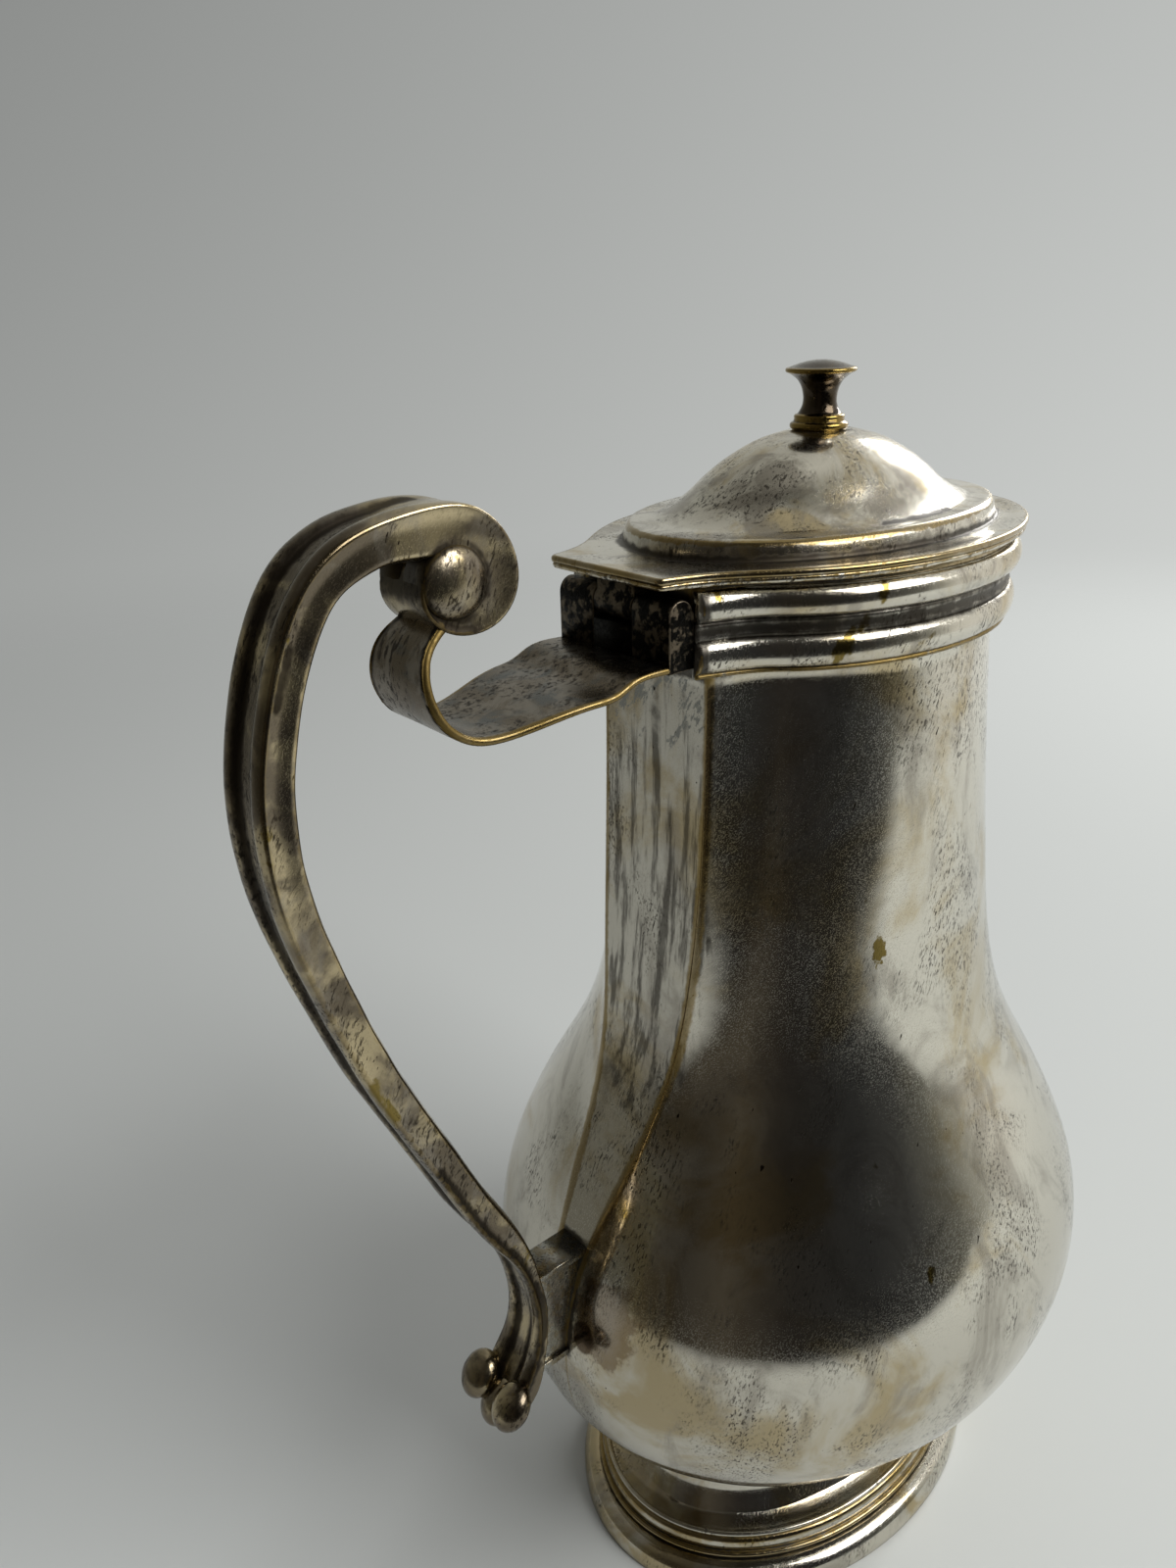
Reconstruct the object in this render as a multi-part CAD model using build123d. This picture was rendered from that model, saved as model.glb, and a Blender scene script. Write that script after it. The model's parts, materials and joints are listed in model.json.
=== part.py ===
from build123d import *
import math
import os

# Barber's jug: an oval baluster jug with a hinged lid and a scroll handle, in millimetres.
# Origin: centre of the foot's underside. +Z up, the handle towards -X, the front towards +X.

# Overall sizes of the body
RIM_Z = 200.9              # top edge of the neck
BELLY_HALF_LENGTH = 61.4   # along X where the body is widest
BELLY_HALF_WIDTH = 53.8
NECK_HALF_LENGTH = 33.6    # at the top of the neck's curve
NECK_HALF_WIDTH = 26.9
NECK_REAR = 36.0           # the flat rear panel's distance behind the axis, there
NECK_REAR_HALF = 11.6      # the panel's half width, there

# The body's outline as it was measured: height, half length along X, half width along Y, the
# rear panel's distance and its half width. It is stretched to the overall sizes above.
BODY_PROFILE = [
    (17.0, 35.2, 23.6, 35.2, 1.6),
    (23.0, 38.9, 29.2, 38.8, 1.6),
    (30.0, 43.8, 34.8, 43.7, 1.7),
    (42.0, 55.0, 45.8, 54.9, 1.9),
    (54.0, 60.2, 51.8, 60.1, 2.2),
    (66.0, 61.4, 53.8, 61.2, 2.6),
    (77.0, 59.8, 52.7, 59.6, 3.0),
    (87.0, 56.0, 49.2, 55.9, 3.8),
    (97.0, 50.8, 44.4, 50.8, 5.2),
    (107.0, 45.2, 39.0, 45.5, 6.8),
    (118.0, 40.6, 34.8, 41.3, 8.6),
    (131.0, 37.9, 32.0, 39.0, 10.2),
    (148.0, 36.0, 30.0, 37.5, 11.2),
    (168.0, 34.5, 28.2, 36.4, 11.5),
    (186.5, 33.6, 26.9, 36.0, 11.6),
]
PROFILE_BELLY = 5          # index of the widest level
BODY_WALL = 1.0
BOTTOM_THICKNESS = 1.2
BOTTOM_RISE = 1.5          # underside of the base disc above the body's lower edge
SECTION_BLEND_DEG = 14.0   # the part of the oval given up to the run into the panel's corner
SECTION_POINTS = 7

# Neck mouldings from the rim down: heights, and how far each stands off the collar
RIM_ABOVE_BEAD = 0.6
UPPER_BEAD_HEIGHT = 4.7
UPPER_BEAD_PROUD = 2.0
GROOVE_BAND_HEIGHT = 2.6
GROOVE_BAND_PROUD = 0.5
LOWER_BEAD_HEIGHT = 5.4
LOWER_BEAD_PROUD = 1.5
UPPER_BEAD_HIGH = RIM_Z - RIM_ABOVE_BEAD
GROOVE_BAND_HIGH = UPPER_BEAD_HIGH - UPPER_BEAD_HEIGHT
LOWER_BEAD_HIGH = GROOVE_BAND_HIGH - GROOVE_BAND_HEIGHT
LOWER_BEAD_LOW = LOWER_BEAD_HIGH - LOWER_BEAD_HEIGHT

# Collar under the mouldings: the neck flares out to it behind the lower bead
FLARE_BELOW_BEAD = 1.1
FLARE_HEIGHT = 3.5
FLARE_LENGTH = 2.6
FLARE_WIDTH = 1.4
FLARE_REAR = 3.5
FLARE_REAR_HALF = 0.3
FLARE_START = LOWER_BEAD_LOW - FLARE_BELOW_BEAD
COLLAR_START = FLARE_START + FLARE_HEIGHT
COLLAR_HALF_LENGTH = NECK_HALF_LENGTH + FLARE_LENGTH
COLLAR_HALF_WIDTH = NECK_HALF_WIDTH + FLARE_WIDTH
COLLAR_REAR = NECK_REAR + FLARE_REAR
COLLAR_REAR_HALF = NECK_REAR_HALF + FLARE_REAR_HALF

# Foot
FOOT_HALF_LENGTH = 48.5
FOOT_HALF_WIDTH = 36.4
FOOT_WALL = 1.2
FOOT_BASE_EDGE = 1.3       # height of the upright edge that stands on the table
FOOT_FLANGE_TOP = 5.2
FOOT_FLANGE_IN = 3.5       # how far the flange draws in
FOOT_STEP_TOP = 10.0
FOOT_STEP_IN = 4.4
FOOT_GROOVE = 0.7
FOOT_TOP_Z = 18.6
FOOT_OVERLAP = 1.6         # how far the body's lower edge stands inside the foot's top
FOOT_SEAT_LENGTH = 0.6     # how far the foot's top stands out past the body's lower edge
FOOT_SEAT_WIDTH = 0.1
FOOT_WIRE_RADIUS = 0.55
BODY_LOW = FOOT_TOP_Z - FOOT_OVERLAP

# Hinge
HINGE_HALF = 12.0
KNUCKLE_RADIUS = 2.25
KNUCKLE_HEADROOM = 1.65    # between the knuckles and the lid's rim
HINGE_STANDOFF = 0.25      # between the knuckles and the collar's flat rear
PIN_RADIUS = 0.9
PIN_CLEARANCE = 0.05
PIN_SHORT = 0.3            # how far each end of the pin lies inside its knuckle
MIDDLE_KNUCKLE_HALF = 4.0
KNUCKLE_GAP = 0.15
KNUCKLE_SWING_GAP = 0.35
PLATE_DROP = 8.0           # lower edge of the hinge plate below the hinge's axis
LID_WEB_HALF = 1.5
LID_OPEN_DEG = 105.0

# Lid: how far its plan stands out past the collar, and behind the hinge's axis
LID_OVER_LENGTH = 4.8
LID_OVER_WIDTH = 1.4
LID_BEHIND_HINGE = 4.0
LID_CORNER = 1.0
LID_SHEET = 1.0
LID_SEAT_GAP = 0.2         # between the bezel's lip and the rim of the neck
LID_RIM_HEIGHT = 0.9
FLANGE_FRONT = 4.7         # from the lid's edge in to the step
FLANGE_SIDE = 5.4
STEP_HEIGHT = 2.9
LIP_LOW = RIM_Z + LID_SEAT_GAP
LID_UNDER = LIP_LOW + LID_RIM_HEIGHT
LID_TOP_Z = LID_UNDER + LID_SHEET
HINGE_X = -(COLLAR_REAR + HINGE_STANDOFF + KNUCKLE_RADIUS)
HINGE_Z = LIP_LOW - KNUCKLE_HEADROOM - KNUCKLE_RADIUS
PLATE_LOW = HINGE_Z - PLATE_DROP
LID_HALF_LENGTH = COLLAR_HALF_LENGTH + LID_OVER_LENGTH
LID_HALF_WIDTH = COLLAR_HALF_WIDTH + LID_OVER_WIDTH
LID_REAR = LID_BEHIND_HINGE - HINGE_X
LID_REAR_HALF = HINGE_HALF
STEP_HALF_LENGTH = LID_HALF_LENGTH - FLANGE_FRONT
STEP_HALF_WIDTH = LID_HALF_WIDTH - FLANGE_SIDE
# Dome: height above the flange, and the fraction of the step ring's size there
DOME_LEVELS = [
    (2.9, 0.850),
    (3.7, 0.775),
    (5.0, 0.700),
    (8.0, 0.585),
    (11.2, 0.440),
    (13.3, 0.300),
    (14.4, 0.170),
]
BEZEL_CLEARANCE = 0.7
BEZEL_SHEET = 0.8
BEZEL_DROP = 4.2
LIP_OVER_LENGTH = 1.3      # how far the bezel's lip reaches past the collar
LIP_OVER_WIDTH = 0.5

# Knob and its fixing
KNOB_BASE_RADIUS = 4.6
KNOB_WAIST_RADIUS = 2.75
KNOB_TOP_RADIUS = 5.55
KNOB_HEIGHT = 10.9
KNOB_SEAT_DEPTH = 0.4      # how far the knob's base stands below the flat of the dome
STUD_RADIUS = 1.25
STUD_CLEARANCE = 0.05
STUD_IN_KNOB = 5.0
WASHER_RADIUS = 4.2
WASHER_THICKNESS = 0.8
RIVET_HEAD_RADIUS = 2.3
RIVET_HEAD_HEIGHT = 1.0

# The strap and the handle as they were measured, beside a body of the measured profile with
# its hinge plate's rear here. They move with the hinge at the top and the belly at the bottom.
MEASURED_PLATE_REAR = -44.25
MEASURED_STRAP_LEVEL = 86.0

# Strap between the hinge plate and the handle: centre line point and half width there
STRAP_SHEET = 1.1
MEASURED_STRAP = [
    (-43.9, 189.8, HINGE_HALF),
    (-47.6, 189.9, HINGE_HALF),
    (-50.6, 189.5, HINGE_HALF),
    (-53.4, 188.4, HINGE_HALF),
    (-57.5, 187.9, 11.6),
    (-63.5, 187.0, 10.3),
    (-69.4, 186.0, 8.9),
    (-73.8, 186.2, 8.2),
    (-77.2, 188.1, 7.8),
    (-79.3, 191.3, 7.4),
    (-79.9, 195.0, 6.8),
    (-78.9, 198.2, 6.0),
    (-76.8, 200.2, 5.2),
    (-74.6, 201.6, 4.6),
]

# Handle: outer ridge point, inner edge point and half width of each cross section
MEASURED_HANDLE = [
    (-74.0, 215.8, -74.4, 209.0, 5.2),
    (-80.4, 216.0, -80.8, 209.5, 5.2),
    (-87.2, 214.6, -84.9, 208.8, 5.2),
    (-92.7, 211.4, -89.0, 206.8, 5.2),
    (-96.5, 206.7, -91.9, 203.4, 5.2),
    (-99.2, 201.0, -94.1, 198.9, 5.2),
    (-101.3, 194.7, -95.9, 193.3, 5.2),
    (-102.8, 188.0, -97.2, 187.4, 5.2),
    (-103.4, 180.1, -97.8, 180.2, 5.2),
    (-102.7, 170.9, -97.2, 171.9, 5.2),
    (-100.2, 160.2, -94.8, 161.6, 5.2),
    (-96.8, 149.3, -91.7, 151.0, 5.2),
    (-93.0, 138.7, -88.0, 140.7, 5.2),
    (-88.6, 128.4, -83.7, 130.5, 5.2),
    (-84.0, 118.2, -79.2, 120.3, 5.1),
    (-79.9, 109.0, -75.2, 111.3, 5.0),
    (-75.7, 101.0, -71.2, 103.3, 4.9),
    (-71.5, 93.8, -68.1, 95.3, 4.7),
    (-68.9, 86.3, -66.3, 86.9, 4.5),
    (-68.0, 79.1, -65.5, 79.1, 4.5),
    (-69.2, 72.8, -66.5, 72.1, 4.8),
    (-72.2, 67.5, -68.8, 65.1, 5.2),
    (-74.9, 63.4, -71.6, 61.0, 4.7),
]
SPINE_VALLEY = 1.0         # depth of the hollow between the two ridges
RIDGE_WIDTH = 2.0
INNER_EDGE_SHARE = 0.62    # half width of the rounded inner edge, as a share of the half width
MEASURED_VOLUTE = [
    (-75.2, 216.3),
    (-70.7, 215.5),
    (-66.4, 212.1),
    (-64.2, 207.3),
    (-65.0, 202.7),
    (-68.3, 199.9),
    (-72.3, 199.3),
    (-75.8, 200.4),
    (-78.3, 203.3),
    (-78.6, 206.8),
    (-77.2, 209.4),
]
VOLUTE_HALF = 5.2
MEASURED_BOSS = (-73.8, 206.3)
BOSS_RADIUS = 4.8
BOSS_PROUD = 1.5
BOSS_EDGE = 0.2            # what the boss keeps of its upright edge under the rounding
MEASURED_LOBES = [
    (-74.8, 4.9, 65.0, 3.0),
    (-74.8, -4.9, 65.0, 3.0),
    (-73.7, 0.0, 60.6, 3.4),
]

# Socket between the body and the foot of the handle
MEASURED_SOCKET_LOW = 66.0
SOCKET_HEIGHT = 21.0
SOCKET_HALF = 2.6
SOCKET_LIP = 0.6
SOCKET_LIP_HEIGHT = 1.3

EPS = 0.01                 # shorter than anything seen, for cuts that must pass a face
BEYOND = 150.0             # further out than any piece, for cuts that must clear it

os.makedirs("parts", exist_ok=True)


def carried(value, from_low, from_high, to_low, to_high):
    """Value carried from one span of sizes over to another."""
    return to_low + (value - from_low) * (to_high - to_low) / (from_high - from_low)


measured_low = BODY_PROFILE[0]
measured_belly = BODY_PROFILE[PROFILE_BELLY]
measured_neck = BODY_PROFILE[-1]
belly_growth = BELLY_HALF_LENGTH - measured_belly[1]
hinge_shift = HINGE_X - KNUCKLE_RADIUS - MEASURED_PLATE_REAR


def height_of(z):
    """Height that a measured height comes to: the neck's top and all above it move as one."""
    if z > measured_neck[0]:
        return z + FLARE_START - measured_neck[0]
    return carried(z, measured_low[0], measured_neck[0], BODY_LOW, FLARE_START)


def reach_of(x, z):
    """Place along X of a measured point of the handle or strap."""
    share = (z - MEASURED_STRAP_LEVEL) / (measured_neck[0] - MEASURED_STRAP_LEVEL)
    share = min(max(share, 0.0), 1.0)
    return x + hinge_shift * share - belly_growth * (1.0 - share)


def placed(x, z):
    """Measured point of the handle or strap beside the body of the overall sizes."""
    return reach_of(x, z), height_of(z)


BODY_LEVELS = []
for z, length, width, rear, rear_half in BODY_PROFILE:
    BODY_LEVELS.append((
        height_of(z),
        carried(length, measured_neck[1], measured_belly[1], NECK_HALF_LENGTH, BELLY_HALF_LENGTH),
        carried(width, measured_neck[2], measured_belly[2], NECK_HALF_WIDTH, BELLY_HALF_WIDTH),
        carried(rear, measured_neck[3], measured_belly[3], NECK_REAR, measured_belly[3] + belly_growth),
        rear_half + NECK_REAR_HALF - measured_neck[4] if z == measured_neck[0] else rear_half,
    ))
STRAP_ROUTE = [(*placed(x, z), half) for x, z, half in MEASURED_STRAP]
HANDLE_SECTIONS = []
for outer_x, outer_z, inner_x, inner_z, half in MEASURED_HANDLE:
    HANDLE_SECTIONS.append((*placed(outer_x, outer_z), *placed(inner_x, inner_z), half))
VOLUTE_OUTLINE = [placed(x, z) for x, z in MEASURED_VOLUTE]
BOSS_X, BOSS_Z = placed(*MEASURED_BOSS)
SOCKET_LOW = height_of(MEASURED_SOCKET_LOW)
SOCKET_HIGH = SOCKET_LOW + SOCKET_HEIGHT


def oval(z, half_length, half_width):
    """Closed elliptical wire at a height."""
    return Wire([Edge.make_ellipse(half_length, half_width, Plane.XY.offset(z))])


def oval_stack(levels, ruled=True):
    """Solid through ellipses given as height, half length and half width."""
    return Solid.make_loft([oval(*level) for level in levels], ruled=ruled)


def plan_wire(z, half_length, half_width, rear, rear_half, inset=0.0):
    """Oval with a flat panel at the rear, drawn in by an inset all round."""
    length = half_length - inset
    width = half_width - inset
    corner_y = rear_half - 0.4 * inset
    corner_x = inset - rear
    corner_deg = 180.0 - math.degrees(math.asin(corner_y / width))
    last_deg = corner_deg - SECTION_BLEND_DEG
    side = []
    for index in range(SECTION_POINTS):
        angle = math.radians(last_deg * index / (SECTION_POINTS - 1))
        side.append((length * math.cos(angle), width * math.sin(angle)))
    side.append((corner_x, corner_y))
    points = [Vector(x, y, z) for x, y in reversed(side)]
    points += [Vector(x, -y, z) for x, y in side[1:]]
    curve = Edge.make_spline(points)
    panel = Edge.make_line(points[-1], points[0])
    return Wire([curve, panel])


def body_solid(inset, low_extra=0.0, top=RIM_Z):
    """The body's outside, or with an inset its inside."""
    wires = [plan_wire(*level, inset=inset) for level in BODY_LEVELS]
    belly = Solid.make_loft(wires, ruled=False)
    neck_level = BODY_LEVELS[-1]
    collar = (COLLAR_HALF_LENGTH, COLLAR_HALF_WIDTH, COLLAR_REAR, COLLAR_REAR_HALF)
    flare = Solid.make_loft(
        [plan_wire(*neck_level, inset=inset), plan_wire(COLLAR_START, *collar, inset=inset)],
        ruled=True,
    )
    straight = Solid.make_loft(
        [plan_wire(COLLAR_START, *collar, inset=inset), plan_wire(top, *collar, inset=inset)],
        ruled=True,
    )
    whole = belly + flare + straight
    if low_extra > 0.0:
        z, length, width, rear, rear_half = BODY_LEVELS[0]
        low = plan_wire(z - low_extra, length, width, rear, rear_half, inset=inset)
        high = plan_wire(z, length, width, rear, rear_half, inset=inset)
        whole = whole + Solid.make_loft([low, high], ruled=True)
    return whole


def collar_layer(levels):
    """Moulding round the collar, through heights and how far each stands proud."""
    wires = []
    for z, proud in levels:
        wires.append(
            plan_wire(z, COLLAR_HALF_LENGTH, COLLAR_HALF_WIDTH, COLLAR_REAR, COLLAR_REAR_HALF,
                      inset=-proud)
        )
    return Solid.make_loft(wires, ruled=True)


def block(x0, x1, y0, y1, z0, z1):
    """Box between two corners."""
    box = Solid.make_box(x1 - x0, y1 - y0, z1 - z0)
    return Pos(x0, y0, z0) * box


def rod(x, z, y0, y1, radius):
    """Round bar along Y."""
    plane = Plane(origin=(x, y0, z), x_dir=(1, 0, 0), z_dir=(0, 1, 0))
    return Solid.make_cylinder(radius, y1 - y0, plane)


def bead_levels(low, high, proud, steps=8):
    """Half round section standing on the collar."""
    levels = []
    for index in range(steps + 1):
        angle = math.pi * index / steps
        z = (low + high) / 2 - (high - low) / 2 * math.cos(angle)
        levels.append((z, 0.15 + (proud - 0.15) * math.sin(angle)))
    return levels


def save(name, shape):
    """Write one piece to its own file."""
    shape.label = name
    export_step(shape, f"parts/{name}.step")


# Body shell and its base disc
outside = body_solid(0.0)
inside = body_solid(BODY_WALL, low_extra=2.0, top=RIM_Z + 2.0)
body_shell = outside - inside
save("body_shell", body_shell)

bottom_z = BODY_LEVELS[0][0] + BOTTOM_RISE
slab = block(-BEYOND, BEYOND, -BEYOND, BEYOND, bottom_z, bottom_z + BOTTOM_THICKNESS)
body_base = inside & slab
save("body_base_disc", body_base)

# Neck mouldings, cut away where the hinge plate is soldered on
plate_rear = -COLLAR_REAR
cut_low = LOWER_BEAD_LOW - 1.0
cut_high = RIM_Z + 1.0
cut_half = HINGE_HALF + 0.3
rear_cut = block(-BEYOND, plate_rear + EPS, -cut_half, cut_half, cut_low, cut_high)
rear_trim = block(-BEYOND, plate_rear - 0.4, -BEYOND, BEYOND, cut_low, cut_high)


def moulding(levels):
    """One moulding, fitted on the collar and cut back at the hinge."""
    return collar_layer(levels) - outside - inside - rear_cut - rear_trim


lower_bead = moulding(bead_levels(LOWER_BEAD_LOW, LOWER_BEAD_HIGH, LOWER_BEAD_PROUD))
groove_band = moulding([(LOWER_BEAD_HIGH, GROOVE_BAND_PROUD), (GROOVE_BAND_HIGH, GROOVE_BAND_PROUD)])
upper_bead = moulding(bead_levels(GROOVE_BAND_HIGH, UPPER_BEAD_HIGH, UPPER_BEAD_PROUD))
save("neck_lower_bead", lower_bead)
save("neck_groove_band", groove_band)
save("neck_upper_bead", upper_bead)


# Foot
def foot_levels(inset):
    """The foot's steps and hollow curve, from the table up."""
    length = FOOT_HALF_LENGTH - inset
    width = FOOT_HALF_WIDTH - inset
    top_in_length = FOOT_HALF_LENGTH - BODY_LEVELS[0][1] - FOOT_SEAT_LENGTH
    top_in_width = FOOT_HALF_WIDTH - BODY_LEVELS[0][2] - FOOT_SEAT_WIDTH
    levels = [(0.0, length - 0.3, width - 0.3), (FOOT_BASE_EDGE, length, width)]
    for share, draw in ((0.35, 0.16), (0.7, 0.52), (1.0, 1.0)):
        z = FOOT_BASE_EDGE + (FOOT_FLANGE_TOP - FOOT_BASE_EDGE) * share
        levels.append((z, length - FOOT_FLANGE_IN * draw, width - FOOT_FLANGE_IN * draw))
    z = FOOT_FLANGE_TOP + 0.3
    levels.append((z, length - FOOT_FLANGE_IN - FOOT_GROOVE, width - FOOT_FLANGE_IN - FOOT_GROOVE))
    levels.append((z + 0.4, length - FOOT_FLANGE_IN - 0.1, width - FOOT_FLANGE_IN - 0.1))
    levels.append((FOOT_STEP_TOP - 0.4, length - FOOT_STEP_IN, width - FOOT_STEP_IN))
    cove_in = FOOT_STEP_IN + FOOT_GROOVE
    levels.append((FOOT_STEP_TOP, length - cove_in, width - cove_in))
    for index in range(1, 7):
        angle = math.radians(15.0 * index)
        z = FOOT_STEP_TOP + (FOOT_TOP_Z - FOOT_STEP_TOP) * (1 - math.cos(angle))
        draw_length = cove_in + (top_in_length - cove_in) * math.sin(angle)
        draw_width = cove_in + (top_in_width - cove_in) * math.sin(angle)
        levels.append((z, length - draw_length, width - draw_width))
    return levels


inner_levels = foot_levels(FOOT_WALL)
inner_levels = [(-EPS, inner_levels[0][1], inner_levels[0][2])] + inner_levels[1:]
last = inner_levels[-1]
inner_levels.append((last[0] + 3.0, last[1], last[2]))
foot_shell = oval_stack(foot_levels(0.0)) - oval_stack(inner_levels) - outside - inside
save("foot_shell", foot_shell)


def oval_wire_ring(z, half_length, half_width, radius):
    """Round wire bent to an oval."""
    path = oval(z, half_length, half_width)
    plane = Plane(origin=(half_length, 0, z), x_dir=(1, 0, 0), z_dir=(0, 1, 0))
    return sweep(plane * Circle(radius), path=path)


wire_in = FOOT_STEP_IN + FOOT_GROOVE - FOOT_WIRE_RADIUS
foot_wire = oval_wire_ring(
    FOOT_STEP_TOP + FOOT_WIRE_RADIUS,
    FOOT_HALF_LENGTH - wire_in,
    FOOT_HALF_WIDTH - wire_in,
    FOOT_WIRE_RADIUS,
) - oval_stack(foot_levels(0.0))
save("foot_wire", foot_wire)


# Lid
def lid_outline(z, inset=0.0):
    """The lid's plan: an oval that runs out into a straight hinged edge."""
    length = LID_HALF_LENGTH - inset
    width = LID_HALF_WIDTH - inset
    side = []
    for index in range(7):
        angle = math.radians(134.0 * index / 6)
        side.append((length * math.cos(angle), width * math.sin(angle)))
    hollow_x = -(LID_REAR - 8.4) + 0.5 * inset
    side.append((hollow_x, LID_REAR_HALF + 2.7 - inset))
    side.append((inset - LID_REAR + LID_CORNER, LID_REAR_HALF - 0.6 * inset))
    points = [Vector(x, y, z) for x, y in reversed(side)]
    points += [Vector(x, -y, z) for x, y in side[1:]]
    curve = Edge.make_spline(points)
    near = Vector(inset - LID_REAR, -LID_REAR_HALF + LID_CORNER + 0.4 * inset, z)
    far = Vector(inset - LID_REAR, LID_REAR_HALF - LID_CORNER - 0.4 * inset, z)
    rear = [Edge.make_line(points[-1], near), Edge.make_line(near, far)]
    rear.append(Edge.make_line(far, points[0]))
    return Wire([curve] + rear)


def lid_prism(z0, z1, inset=0.0):
    """The lid's plan made solid between two heights."""
    return Solid.make_loft([lid_outline(z0, inset), lid_outline(z1, inset)], ruled=True)


dome_top = LID_TOP_Z + DOME_LEVELS[-1][0]


def dome_stack(inset, drop):
    """Dome through its levels, or its inside."""
    levels = []
    for height, share in DOME_LEVELS:
        half_length = STEP_HALF_LENGTH * share - inset
        half_width = STEP_HALF_WIDTH * (share + 0.12 * (1 - share) * share) - inset
        levels.append((LID_TOP_Z + height - drop, half_length, half_width))
    return oval_stack(levels, ruled=False)


step_low = (LID_TOP_Z - 0.2, STEP_HALF_LENGTH, STEP_HALF_WIDTH)
step_mid = (LID_TOP_Z + 0.5 * STEP_HEIGHT, STEP_HALF_LENGTH - 0.5, STEP_HALF_WIDTH - 0.5)
step_high = (LID_TOP_Z + STEP_HEIGHT, STEP_HALF_LENGTH - 2.0, STEP_HALF_WIDTH - 2.0)
step_solid = oval_stack([step_low, step_mid, step_high])
hollow_low = (LID_UNDER - 1.0, STEP_HALF_LENGTH - 1.6, STEP_HALF_WIDTH - 1.6)
hollow_mid = (LID_TOP_Z + 0.5, STEP_HALF_LENGTH - 1.8, STEP_HALF_WIDTH - 1.8)
hollow_high = (LID_TOP_Z + STEP_HEIGHT - LID_SHEET, STEP_HALF_LENGTH - 3.6, STEP_HALF_WIDTH - 3.6)
hollow = oval_stack([hollow_low, hollow_mid, hollow_high]) + dome_stack(LID_SHEET, LID_SHEET)
stud_hole = Pos(0, 0, dome_top - 8) * Solid.make_cylinder(STUD_RADIUS + STUD_CLEARANCE, 16)
lid_shell = lid_prism(LID_UNDER, LID_TOP_Z) + step_solid + dome_stack(0.0, 0.0) - hollow - stud_hole
save("lid_shell", lid_shell)

bezel_length = COLLAR_HALF_LENGTH - BODY_WALL - BEZEL_CLEARANCE
bezel_width = COLLAR_HALF_WIDTH - BODY_WALL - BEZEL_CLEARANCE
bezel_low = LIP_LOW - BEZEL_DROP
lip_length = COLLAR_HALF_LENGTH + LIP_OVER_LENGTH
lip_width = COLLAR_HALF_WIDTH + LIP_OVER_WIDTH
bezel_outer = oval_stack([(bezel_low, bezel_length, bezel_width), (LIP_LOW, bezel_length, bezel_width)])
lip = oval_stack([(LIP_LOW, lip_length, lip_width), (LID_UNDER, lip_length, lip_width)])
bezel_hole = oval_stack([
    (bezel_low - 1, bezel_length - BEZEL_SHEET, bezel_width - BEZEL_SHEET),
    (LID_UNDER + 1, bezel_length - BEZEL_SHEET, bezel_width - BEZEL_SHEET),
])
lid_bezel = bezel_outer + lip - bezel_hole
save("lid_bezel", lid_bezel)

rim_hole = oval_stack([(LIP_LOW - 1, lip_length, lip_width), (LID_UNDER + 1, lip_length, lip_width)])
lid_rim = lid_prism(LIP_LOW, LID_UNDER) - rim_hole
save("lid_rim", lid_rim)

# Knob: a turned spool, held by a stud riveted over a washer inside the dome
knob_base = dome_top - KNOB_SEAT_DEPTH
with BuildPart() as knob_builder:
    with BuildSketch(Plane.XZ) as knob_sketch:
        with BuildLine():
            top = knob_base + KNOB_HEIGHT
            rim_low = top - 1.9
            rim_high = top - 1.3
            foot_edge = Polyline(
                (0, knob_base),
                (KNOB_BASE_RADIUS, knob_base),
                (KNOB_BASE_RADIUS + 0.1, knob_base + 0.7),
                (KNOB_BASE_RADIUS - 0.5, knob_base + 1.2),
                (KNOB_BASE_RADIUS - 0.4, knob_base + 1.7),
                (KNOB_BASE_RADIUS - 1.1, knob_base + 2.2),
            )
            waist = Spline(
                foot_edge @ 1,
                (KNOB_WAIST_RADIUS, rim_low - 4.4),
                (KNOB_WAIST_RADIUS + 0.55, rim_low - 2.1),
                (KNOB_TOP_RADIUS - 0.6, rim_low - 0.6),
            )
            Line(waist @ 1, (KNOB_TOP_RADIUS, rim_low))
            Line((KNOB_TOP_RADIUS, rim_low), (KNOB_TOP_RADIUS, rim_high))
            crown = Spline(
                (KNOB_TOP_RADIUS, rim_high),
                (KNOB_TOP_RADIUS * 0.62, top - 0.35),
                (0, top),
                tangents=((-1, 0.5), (-1, 0)),
            )
            Line(crown @ 1, (0, knob_base))
        make_face()
    revolve(axis=Axis.Z)
stud_top = knob_base + STUD_IN_KNOB
knob_bore = Pos(0, 0, knob_base - 1) * Solid.make_cylinder(STUD_RADIUS, STUD_IN_KNOB + 1)
lid_knob = knob_builder.part - knob_bore - dome_stack(0.0, 0.0)
save("lid_knob", lid_knob)

washer_top = dome_top - LID_SHEET
washer_low = washer_top - WASHER_THICKNESS
washer = Pos(0, 0, washer_low) * Solid.make_cylinder(WASHER_RADIUS, WASHER_THICKNESS)
washer = washer - stud_hole - Pos(0, 0, washer_low - 8) * Solid.make_cylinder(STUD_RADIUS, 10)
save("knob_washer", washer)

stud = Pos(0, 0, washer_low) * Solid.make_cylinder(STUD_RADIUS, stud_top - washer_low)
head = Pos(0, 0, washer_low) * Solid.make_cone(RIVET_HEAD_RADIUS, 1.2, RIVET_HEAD_HEIGHT,
                                               Plane(origin=(0, 0, 0), z_dir=(0, 0, -1)))
knob_stud = stud + head
save("knob_stud", knob_stud)

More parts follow.
